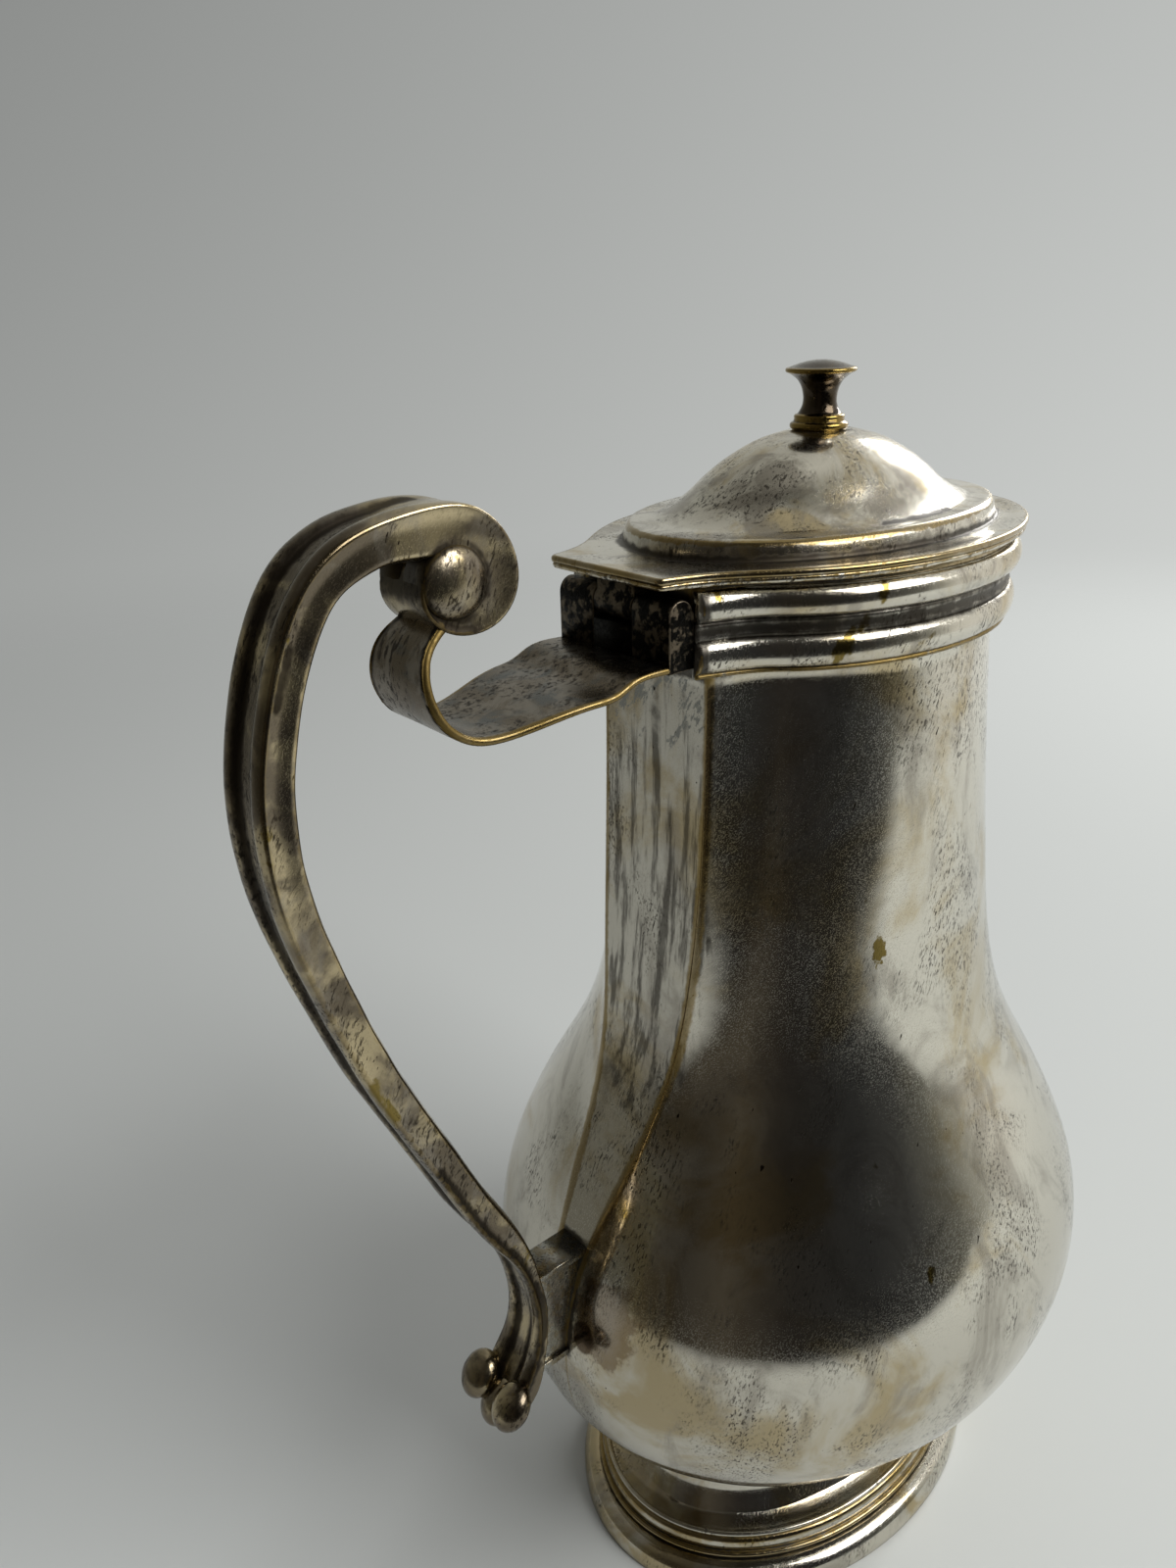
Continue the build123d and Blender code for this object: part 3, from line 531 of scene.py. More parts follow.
def fade(tree, value, start, end):
    """0 at the start value and 1 at the end value, easing in and out between them."""
    inputs = dict(enumerate((value, start, end, 0.0, 1.0)))
    return add(tree, "ShaderNodeMapRange", inputs, interpolation_type="SMOOTHSTEP").outputs[0]


def along_way(tree, vector, way):
    """How far a vector reaches along a way."""
    return add(tree, "ShaderNodeVectorMath", {0: vector, 1: way}, operation="DOT_PRODUCT").outputs["Value"]


def grain(tree, where, size, detail, rough=0.5):
    """Noise whose lumps are about size mm across."""
    inputs = {"Vector": where, "Scale": 1 / (size * MM), "Detail": detail, "Roughness": rough}
    return add(tree, "ShaderNodeTexNoise", inputs).outputs[0]


def laid(tree, where, centre, scale, turn=(0, 0, 0)):
    """Coordinates moved to a centre and divided by a scale."""
    turned_by = [math.radians(a) for a in turn]
    inputs = {"Vector": where, "Location": centre, "Rotation": turned_by, "Scale": scale}
    return add(tree, "ShaderNodeMapping", inputs, vector_type="TEXTURE").outputs[0]


def patches(
    tree, where, size, low, high, detail=3.0, rough=0.55, twist=0.0, stretch=(1, 1, 1), turn=(0, 0, 0), shift=0.0
):
    """Random patches about size mm across: 0 outside and 1 inside, fading between two noise levels."""
    place = laid(tree, where, (shift, shift * 0.7, shift * 1.3), [size * MM * s for s in stretch], turn)
    inputs = {"Vector": place, "Scale": 1.0, "Detail": detail, "Roughness": rough, "Distortion": twist}
    return fade(tree, add(tree, "ShaderNodeTexNoise", inputs).outputs[0], low, high)


def times(tree, a, b):
    """Product of two factors."""
    return maths(tree, "MULTIPLY", a, b)


def near_line(tree, name, reach, fray, where, fray_size=1.6):
    """1 on the lines that an attribute measures from, fading out over reach mm with a frayed border."""
    far = add(tree, "ShaderNodeAttribute", attribute_name=name, attribute_type="GEOMETRY").outputs["Fac"]
    moved = maths(tree, "MULTIPLY_ADD", grain(tree, where, fray_size, 3.0, 0.6), 2 * fray, far)
    return fade(tree, moved, fray + reach, fray + 0.25 * reach)


PLAIN_LOOK = {
    "clean": "plate",
    "cloud_ink": "champagne",
    "cloud": (26.0, 0.47, 0.64),       # champagne clouds: size in mm, noise levels
    "haze": (12.0, 0.48, 0.68),        # grey bloom
    "haze_share": 0.6,
    "speck": (0.55, 0.52, 0.60),       # dark speckle
    "speck_zone": (20.0, 0.47, 0.60),  # where the speckle lies
    "speck_share": 0.85,
    "bare": (16.0, 0.68, 0.70),        # patches worn down to the brass
    "wear": (0.4, 0.6),                # rubbed edges: reach and fray in mm
    "wear_share": 0.75,
    "grime": (1.2, 0.8),               # dirt in hollows: reach and fray in mm
    "rough": 0.09,
    "stain": None,
}
GRIME_SHARE = 0.9
SPECK_LEAN = (0, 25, 0)  # degrees, along the old scratches
SWELL_DEPTH = 0.04 * MM  # of the soft unevenness under the polish
MARK_DEPTH = 0.004 * MM  # of specks and scratches


def worn_plate(name, **changes):
    """Old silver plate on brass, hand polished for years.

    The clean plate is a warm mirror. Where it is thin the brass shows through as champagne clouds,
    sulphide lies as grey bloom and as fine dark speckle along old scratches, rubbed edges are bright
    brass, and dirt stays black in the hollows.
    """
    look = {**PLAIN_LOOK, **changes}
    ink = colours()
    material, tree, shader = new_finish(name)
    where = add(tree, "ShaderNodeTexCoord").outputs["Object"]

    def strewn(key, detail, rough, **laid_as):
        return patches(tree, where, *look[key], detail=detail, rough=rough, **laid_as)

    cloud = strewn("cloud", 5.0, 0.6, twist=0.6)
    haze = strewn("haze", 6.0, 0.65, twist=0.9, stretch=(1, 1, 1.8), shift=0.31)
    haze = times(tree, haze, look["haze_share"])
    zone = strewn("speck_zone", 4.0, 0.6, twist=0.4, stretch=(1, 1, 1.5), shift=0.57)
    speck = strewn("speck", 5.0, 0.7, stretch=(0.7, 0.7, 2.4), turn=SPECK_LEAN, shift=0.13)
    speck = times(tree, times(tree, speck, zone), look["speck_share"])
    bare = strewn("bare", 5.0, 0.55, twist=0.3, stretch=(1, 1, 1.7), shift=0.19)
    dots = patches(tree, where, 1.2, 0.73, 0.76, 2.0, stretch=(0.7, 0.7, 2.2), turn=SPECK_LEAN, shift=0.83)
    thin = {"detail": 2.0, "rough": 0.5}
    upright = patches(tree, where, 0.5, 0.60, 0.66, **thin, stretch=(0.35, 0.35, 26), turn=(24, 14, 0), shift=0.7)
    crossing = patches(tree, where, 0.5, 0.61, 0.66, **thin, stretch=(24, 0.35, 0.35), turn=(0, -32, 35), shift=0.4)
    rubbed = times(tree, near_line(tree, "edge_mm", *look["wear"], where), look["wear_share"])
    dirty = times(tree, near_line(tree, "hollow_mm", *look["grime"], where, fray_size=2.4), GRIME_SHARE)
    dark = maths(tree, "MAXIMUM", speck, dots)
    line = maths(tree, "MAXIMUM", upright, crossing)

    tone = getattr(ink, look["clean"])
    rough = maths(tree, "MULTIPLY_ADD", line, 0.05, look["rough"])
    # Layers from the plate up: where it lies, its colour and how much rougher it is
    layers = [(cloud, look["cloud_ink"], 0.03), (haze, "haze", 0.09), (bare, "dull_brass", 0.0)]
    layers += look["stain"](tree, where) if look["stain"] else ()
    layers += [(dark, "shade", 0.25), (dirty, "shade", 0.3), (rubbed, "brass", 0.0)]
    for share, code, rougher in layers:
        tone = blend(tree, share, tone, getattr(ink, code))
        rough = maths(tree, "MULTIPLY_ADD", share, rougher, rough)

    sunk = maths(tree, "ADD", dark, line)
    swell = relief(tree, grain(tree, where, 7.0, 2.0), SWELL_DEPTH, 1.0)
    marks = relief(tree, sunk, MARK_DEPTH, 0.8, swell, invert=True)
    return finish_links(material, tree, shader, tone, rough, marks)


def relief(tree, height, depth, strength, under=None, invert=False):
    """Normals of a relief of some depth in metres, laid over another relief or none."""
    inputs = {"Height": height, "Distance": depth, "Strength": strength}
    if under:
        inputs["Normal"] = under
    return add(tree, "ShaderNodeBump", inputs, invert=invert).outputs[0]


def finish_links(material, tree, shader, tone, rough, marks):
    """Link a finish's colour, roughness and relief to its shader."""
    for name, socket in (("Base Color", tone), ("Roughness", rough), ("Normal", marks)):
        tree.links.new(socket, shader.inputs[name])
    return material


def dark_metal(name, base, worn, rough=0.34, wear=(0.35, 0.5), mottle=(2.6, 0.45, 0.65), pit=0.03 * MM):
    """Blackened metal that is rubbed back at its edges: dull, mottled and only a little glossy."""
    material, tree, shader = new_finish(name)
    where = add(tree, "ShaderNodeTexCoord").outputs["Object"]
    mottled = times(tree, patches(tree, where, *mottle, detail=6.0, rough=0.7, twist=0.5), 0.22)
    fine = patches(tree, where, 0.5, 0.45, 0.6, detail=4.0, rough=0.7)
    share = maths(tree, "MAXIMUM", near_line(tree, "edge_mm", *wear, where), mottled)
    uneven = maths(tree, "MULTIPLY_ADD", fine, 0.2, rough)
    pitted = relief(tree, fine, pit, 0.8)
    return finish_links(material, tree, shader, blend(tree, share, base, worn), uneven, pitted)


def spot(tree, where, centre, radii, size, fray=0.5):
    """A frayed patch round a place: centre and radii in mm, 1 inside and 0 outside."""
    place = laid(tree, where, [c * MM for c in centre], [r * MM for r in radii])
    away = add(tree, "ShaderNodeVectorMath", {0: place}, operation="LENGTH").outputs["Value"]
    frayed = maths(tree, "MULTIPLY_ADD", grain(tree, where, size, 5.0, 0.65), 2 * fray, away)
    return fade(tree, frayed, fray + 1.0, fray + 0.8)


def body_stains(tree, where):
    """Marks on the body, and painted reflections on it: where each lies, its colour and how much rougher it is."""
    solder = spot(tree, where, (-37, 0, 181), (8, 14, 7), 3.0, fray=1.0)
    splash = patches(tree, where, 2.2, 0.52, 0.58, 5.0, 0.7, stretch=(0.8, 0.8, 2.2), turn=(30, 0, 0))
    # Painted reflection: dark vertical streaks on the rear panel, standing in for the dark lines and shaded floor
    # mirrored there
    panel = spot(tree, where, (-40, 0, 146), (9, 15, 46), 8.0, fray=0.4)
    reflected_dark_streaks = patches(tree, where, 3.0, 0.46, 0.60, 5.0, 0.65, stretch=(0.8, 0.8, 9), shift=0.23)
    # Painted reflection: a copper-orange patch beside the socket, standing in for what the body mirrors there
    copper_reflection_spot = spot(tree, where, (-57, -10, 76), (7, 7, 9), 6.0, fray=1.0)
    drop = spot(tree, where, (-60.5, -6.4, 72.0), (4, 2.6, 3.6), 4.0, fray=0.15)
    worn = spot(tree, where, (-12, -47, 44), (8, 9, 5), 6.0, fray=0.5)
    worn_low = spot(tree, where, (1, -45, 38), (5, 5, 3.5), 5.0, fray=0.5)
    nick = spot(tree, where, (-14, -30, 140), (1.3, 4, 3.2), 1.5, fray=0.9)
    return (
        (times(tree, times(tree, panel, reflected_dark_streaks), 0.7), "shade", 0.15),
        (times(tree, solder, splash), "solder", 0.22),
        (times(tree, copper_reflection_spot, 0.55), "copper", 0.06),
        (times(tree, drop, 0.85), "amber", 0.02),
        (times(tree, worn, 0.8), "dull_brass", 0.05),
        (times(tree, worn_low, 0.8), "dull_brass", 0.05),
        (nick, "dull_brass", 0.05),
    )


def socket_distance(p):
    """How far a point of the body is from the socket's outline, in mm."""
    low, high = SOCKET_HEIGHTS
    over = max(low - p.z, p.z - high, 0.0)
    beside = max(abs(p.y) - 3.2, 0.0)
    return math.hypot(over, beside) if p.x < -50 else FAR_OFF


# Pieces


class JUG_OT_body(Operator):
    """Build the raised oval body and dress its base disc"""

    bl_idname = "jug.make_body"
    bl_label = "Body"

    def execute(self, context):
        settings = sizes()
        rounding = settings.crease_radius / MM
        wall = settings.wall / MM
        at = body_levels()
        top = BODY_HIGH.z

        def level(z, inset=0.0):
            return flat_ring(jug_section(*at(z), rounding, inset=inset), z)

        heights = [BODY_LOW.z]
        while heights[-1] < top - LEVEL_STEP:
            heights.append(heights[-1] + LEVEL_STEP)
        heights.append(top - 0.25)
        rings = [level(z) for z in heights]
        rings += [level(top - 0.06, 0.08), level(top, 0.3), level(top, wall - 0.3), level(top - 0.06, wall - 0.08)]
        for z in [top - 0.25] + heights[-2::-2] + [BODY_LOW.z]:
            if z < rings[-1][0].z - 0.1:
                rings.append(level(z, wall))
        bm = skin(rings)
        creases = []
        corner = OVAL_POINTS + len(CORNER_RUN) + 2  # the middle of the rounded corner
        for ring in rings[: len(heights)]:
            creases += [ring[corner], ring[-corner]]
        tree = nearest_of(creases)

        def crease_distance(p):
            fade = 1.0 + max(0.0, (95.0 - p.z) / 22.0)
            return tree.find(p)[2] * fade - (0.5 if 80 < p.z < 165 else 0.0)

        def dirt_distance(p):
            under_bead = abs(p.z - LOWER_BEAD[0].z) + 0.2
            at_foot = abs(p.z - (FOOT_HIGH.z - 0.3))
            beside = max(abs(p.y) - PLATE_HIGH.y, 0.0)
            by_hinge = math.hypot(beside, max(PLATE_LOW.z - 1.0 - p.z, 0.0)) if p.x < -30 else FAR_OFF
            return min(under_bead, at_foot, by_hinge * 0.6, socket_distance(p))

        material = worn_plate(
            "silver_plate_on_brass_body",
            stain=body_stains,
            wear=(0.75, 0.5),
            rough=0.07,
        )
        finish_piece(
            bm, "raised_body", JUG, "body_plate", material, "body_shell",
            wavy=(settings.waviness / MM, 21.0), proud=crease_distance, hollow=dirt_distance,
        )
        inside = worn_plate("tinned_plate_inside", clean="haze", haze_share=0.9, rough=0.4)
        disc = frame["nodes"]["body_base_disc"]
        disc.data.materials.clear()
        disc.data.materials.append(inside)
        return {"FINISHED"}


def foot_profile():
    """Outside of the foot from the table up: height and how far it is drawn in, in mm."""
    height = FOOT_HIGH.z
    drawn = FOOT_HIGH.x - BODY_OUTLINE[0][1] - 0.6
    steps = [(0.0, 0.45), (0.08, 0.15), (0.3, 0.0), (1.2, 0.0)]
    for i in range(1, 9):
        angle = math.radians(10 * i)
        steps.append((1.2 + 4.0 * math.sin(angle), 3.3 * (1 - math.cos(angle))))
    steps += [(5.25, 3.35), (5.2, 3.9), (5.3, 4.3), (5.6, 4.25)]
    for i in range(7):
        angle = math.radians(-60 + 30 * i)
        steps.append((6.2 + 0.55 * math.sin(angle), 4.05 - 0.62 * math.cos(angle)))
    steps += [(6.8, 4.35), (7.1, 4.3), (7.7, 4.12), (8.5, 4.1), (9.2, 4.3), (9.7, 4.7)]
    steps += [(9.85, 5.0), (9.8, 5.35), (9.95, 5.6)]
    low, start = 10.0, 5.7
    for i in range(1, 13):
        angle = math.radians(90 / 12 * i)
        rise, run = 1 - math.cos(angle), math.sin(angle)
        steps.append((low + (height - low) * rise, start + (drawn - start) * run))
    return steps


class JUG_OT_foot(Operator):
    """Build the moulded oval foot and the wire round its step"""

    bl_idname = "jug.make_foot"
    bl_label = "Foot"

    def execute(self, context):
        wall = sizes().foot_wall / MM
        half_length, half_width = FOOT_HIGH.x, FOOT_HIGH.y
        outside = foot_profile()
        inside = [(outside[-1][0], outside[-1][1] + wall), (14.0, 12.2), (10.0, 8.2), (6.0, 5.6)]
        inside += [(3.0, 3.0), (0.3, 1.7), (0.0, 1.3)]
        rings = [oval(half_length - inset, half_width - inset, z, 200) for z, inset in outside + inside]
        bm = skin(rings)
        material = worn_plate(
            "silver_plate_on_brass_foot",
            speck_zone=(14.0, 0.50, 0.62), cloud=(20.0, 0.47, 0.6), wear=(0.35, 0.5), grime=(0.8, 0.6),
            rough=0.08,
        )
        finish_piece(bm, "moulded_foot", JUG, "foot_plate", material, "foot_shell", wavy=(0.05, 16.0))

        radius = 0.5
        middle_in = 5.35
        level = 10.25
        rings = []
        for i in range(12):
            angle = 2 * math.pi * i / 12
            inset = middle_in - radius * math.cos(angle)
            rings.append(oval(half_length - inset, half_width - inset, level + radius * math.sin(angle), 200))
        bm = skin(rings)
        wire = worn_plate("silver_wire", wear=(0.1, 0.5), haze_share=0.4, rough=0.12)
        finish_piece(
            bm, "foot_wire_ring", JUG, "wire_plate", wire, "foot_wire", wavy=(0.04, 9.0), proud_bend=9.0
        )
        return {"FINISHED"}


def collar_path():
    """Points and outward normals round the collar, from one side of the hinge plate to the other."""
    ring = jug_section(*COLLAR, 0.8)
    half = len(ring) // 2 + 1
    stop = PLATE_HIGH.y + 0.1
    side = [p for p in ring[:half] if p.y > stop or p.x > 0]
    side.append(Vector((side[-1].x - 0.8, stop)))
    path = list(reversed(side)) + [Vector((p.x, -p.y)) for p in side[1:]]
    normals = []
    for i in range(len(path)):
        heading = path[min(i + 1, len(path) - 1)] - path[max(i - 1, 0)]
        normals.append(Vector((heading.y, -heading.x)).normalized() * 1.0)
    return path, normals


def collar_moulding(profile):
    """Moulding of a closed profile of stand-off and height swept round the collar."""
    path, normals = collar_path()
    sign = 1.0 if normals[len(normals) // 2].x > 0 else -1.0
    rings = []
    for point, normal in zip(path, normals):
        rings.append([Vector((*(point + normal * sign * off), z)) for off, z in profile])
    return skin(rings, "capped")


def bead_profile(low, high, proud, lip=0.0, steps=12):
    """Half round bead with its back in the wall and an optional small lip under it."""
    profile = [(-0.5, high - 0.1), (-0.5, low + 0.1)]
    start = low
    if lip > 0:
        profile += [(lip, low), (lip + 0.05, low + 0.25), (lip, low + 0.5)]
        start = low + 0.6
    for i in range(steps + 1):
        angle = math.pi * i / steps
        height = (start + high) / 2 - (high - start) / 2 * math.cos(angle)
        profile.append((0.1 + (proud - 0.1) * math.sin(angle), height))
    return profile


class JUG_OT_neck_mouldings(Operator):
    """Build the two beads round the neck and the groove band between them"""

    bl_idname = "jug.make_neck_mouldings"
    bl_label = "Neck mouldings"

    def execute(self, context):
        low, high = LOWER_BEAD[0].z, LOWER_BEAD[1].z
        upper_low, upper_high = UPPER_BEAD[0].z, UPPER_BEAD[1].z
        material = worn_plate(
            "drawn_plated_moulding",
            speck_zone=(9.0, 0.46, 0.58), haze=(6.0, 0.5, 0.66), wear=(0.4, 0.7), grime=(1.1, 0.8),
            rough=0.11, bare=(7.0, 0.62, 0.66),
        )
        lower = bead_profile(low, high, LOWER_BEAD[1].y - COLLAR[1], lip=0.45)
        upper = bead_profile(upper_low, upper_high, UPPER_BEAD[1].y - COLLAR[1])
        beads = (("lower_neck_bead", "neck_lower_bead", lower), ("upper_neck_bead", "neck_upper_bead", upper))
        for name, node, profile in beads:
            finish_piece(
                collar_moulding(profile), name, JUG, "moulding_plate", material, node,
                wavy=(0.06, 11.0), proud_bend=1.3,
                hollow=lambda p: min(abs(p.z - high), abs(p.z - upper_low)) + 0.35,
            )
        groove = [(-0.5, upper_low + 0.3), (-0.5, high - 0.3), (0.45, high - 0.3), (0.5, high + 0.6)]
        groove += [(0.25, (high + upper_low) / 2), (0.5, upper_low - 0.6), (0.45, upper_low + 0.3)]
        finish_piece(
            collar_moulding(groove), "neck_groove", JUG, "moulding_plate", material, "neck_groove_band",
            wavy=(0.05, 9.0), proud_bend=9.0,
            hollow=lambda p: min(abs(p.z - high), abs(p.z - upper_low)) * 0.8,
        )
        return {"FINISHED"}


def barrel_outline(x, z, radius, rear, front, low, steps=14):
    """Outline of a hinge plate's end: flat sides that run up into a round barrel."""
    outline = [(front, low), (front, z)]
    for i in range(1, steps):
        angle = math.pi * i / steps
        outline.append((x + radius * math.cos(angle), z + radius * math.sin(angle)))
    return outline + [(rear, z), (rear, low)]


class JUG_OT_hinge(Operator):
    """Build the hinge plate with its end knuckles, the pin and the lid's middle knuckle"""

    bl_idname = "jug.make_hinge"
    bl_label = "Hinge"

    def execute(self, context):
        ink = colours()
        x, _, z = HINGE
        radius = x - PLATE_LOW.x
        rear, front = PLATE_LOW.x, PLATE_HIGH.x
        half = PLATE_HIGH.y
        inner = KNUCKLE_HIGH.y + 0.15
        low = PLATE_LOW.z
        # Hinge colour deepened to near black as painted shade, where the hinge lies in shade
        black = dark_metal(
            "hinge_black_as_painted_shade", ink.hinge_black_as_shade, ink.tarnish, rough=0.4, wear=(0.15, 0.4), mottle=(2.2, 0.56, 0.75)
        )
        bm = bmesh.new()
        ends = barrel_outline(x, z, radius, rear, front, low)
        bar(bm, ends, -half, -inner, bevel=0.25)
        bar(bm, ends, inner, half, bevel=0.25)
        gap = radius + 0.35
        lean = math.radians(15)  # the open lid's web lies this far under the level

        def saddle_top(along_x):
            under_knuckle = math.sqrt(gap**2 - (along_x - x) ** 2)
            under_web = (x - along_x) * math.tan(lean) + 1.9 / math.cos(lean)
            return z - max(under_knuckle, under_web)

        saddle = [(front, low)]
        for i in range(9):
            along_x = front + (rear - front) * i / 8
            saddle.append((along_x, saddle_top(along_x)))
        saddle.append((rear, low))
        bar(bm, saddle, -inner, inner, bevel=0.0)
        finish_piece(
            bm, "hinge_plate_and_knuckles", JUG, "hinge_metal", black, "hinge_plate",
            wavy=(0.07, 4.0), proud_bend=1.2,
        )

        bm = bmesh.new()
        pin = [(0.0, -half - 0.12), (0.5, -half - 0.08), (0.85, -half + 0.05), (0.9, -half + 0.3)]
        pin += [(r, -y) for r, y in reversed(pin)]
        turned(bm, pin, 32)
        turn_about(bm, bm.verts, 90.0, "X")
        bmesh.ops.translate(bm, verts=bm.verts, vec=(x, 0, z))
        finish_piece(bm, "hinge_pin_rod", JUG, "hinge_metal", black, "hinge_pin", proud_bend=1.5)

        bm = bmesh.new()
        web = 1.5
        outline = [(x + web, KNUCKLE_HIGH.z)]
        start = math.acos(web / radius)
        for i in range(21):
            angle = start - (math.pi + 2 * start) * i / 20
            outline.append((x + radius * math.cos(angle), z + radius * math.sin(angle)))
        outline.append((x - web, KNUCKLE_HIGH.z))
        bar(bm, outline, KNUCKLE_LOW.y, KNUCKLE_HIGH.y, bevel=0.15)
        finish_piece(
            bm, "lid_middle_knuckle", LID, "hinge_metal", black, "lid_hinge_knuckle",
            wavy=(0.05, 4.0), proud_bend=1.2,
        )
        return {"FINISHED"}


def sheet_ring(middle, across, sheet, half):
    """Ring round a strap's section: a flat sheet with rounded edges. across is its normal in x and z."""
    shares = (0.0, 0.35, 0.62, 0.82, 0.93)
    thick = sheet / 2
    flat = [half * s for s in shares]
    round_part = []
    for i in range(1, 6):
        angle = math.pi / 2 - math.pi * i / 6
        round_part.append((half - thick * (1 - math.cos(angle)), thick * math.sin(angle)))
    upper = [(y, thick) for y in flat] + [(half - thick, thick)]
    lower = [(half - thick, -thick)] + [(y, -thick) for y in reversed(flat)]
    right = upper + round_part + lower
    left = [(-y, t) for y, t in reversed(right[1:-1])]
    return [Vector((middle[0] + across[0] * t, y, middle[1] + across[1] * t)) for y, t in right + left]


class JUG_OT_strap(Operator):
    """Build the thin strap that joins the hinge plate to the handle's scroll"""

    bl_idname = "jug.make_strap"
    bl_label = "Strap"

    def execute(self, context):
        keys = along(STRAP_ROUTE, (0, 1))
        at = cubic_through(keys, STRAP_ROUTE)
        count = 90
        rings = []
        for i in range(count + 1):
            key = keys[-1] * i / count
            x, z, half = at(key)
            ahead = at(min(key + 0.2, keys[-1])) - at(max(key - 0.2, 0.0))
            heading = Vector((ahead[0], ahead[1])).normalized()
            rings.append(sheet_ring((x, z), (-heading.y, heading.x), sizes().strap_sheet / MM, half))
        bm = skin(rings, "capped")
        material = worn_plate(
            "tarnished_plate_strap",
            clean="tarnish", cloud_ink="slate", cloud=(9.0, 0.50, 0.66), haze=(5.0, 0.46, 0.60),
            haze_share=0.7, speck=(1.1, 0.5, 0.60), speck_zone=(7.0, 0.42, 0.54), wear=(0.45, 0.25),
            rough=0.24,
        )
        finish_piece(
            bm, "bent_strap", JUG, "strap_plate", material, "handle_strap", wavy=(0.12, 9.0), proud_bend=1.0
        )
        return {"FINISHED"}


def handle_ring(outer, inner, half, channel):
    """Ring round the handle's section: two ridges, a channel between them, flat flanks, a rounded inside."""
    depth_line = Vector((inner[0] - outer[0], inner[1] - outer[1]))
    depth = depth_line.length
    unit = depth_line / depth
    inner_half = 0.66 * half
    side = [
        (channel, 0.0),
        (channel * 0.97, 0.22 * half),
        (channel * 0.92, 0.36 * half),
        (channel * 0.70, 0.42 * half),
        (channel * 0.22, 0.50 * half),
        (channel * 0.02, 0.60 * half),
        (-0.02 * channel, 0.72 * half),
        (channel * 0.10, 0.84 * half),
        (channel * 0.30, 0.92 * half),
        (channel * 0.42, 0.965 * half),
        (channel * 0.50 + 0.15, half),
        (channel * 0.50 + 0.45, half + 0.02),
        (channel * 0.5 + 0.14 * depth, half - 0.10),
        (0.30 * depth, half - 0.20),
        (0.45 * depth, half - 0.22),
        (0.60 * depth, half - 0.16),
        (0.72 * depth, half - 0.06),
        (0.80 * depth, half - 0.02),
        (0.86 * depth, half - 0.12),
        (0.92 * depth, (half + inner_half) / 2),
        (0.97 * depth, inner_half * 0.95),
        (0.99 * depth, inner_half * 0.7),
        (depth, inner_half * 0.35),
    ]
    whole = side + [(depth, 0.0)] + [(u, -y) for u, y in reversed(side[1:])]
    return [Vector((outer[0] + unit.x * u, y, outer[1] + unit.y * u)) for u, y in whole]


def handle_curve():
    """The handle's route as a function of running distance, and its whole distance."""
    keys = along(HANDLE_ROUTE, (0, 1))
    return cubic_through(keys, HANDLE_ROUTE), keys[-1]


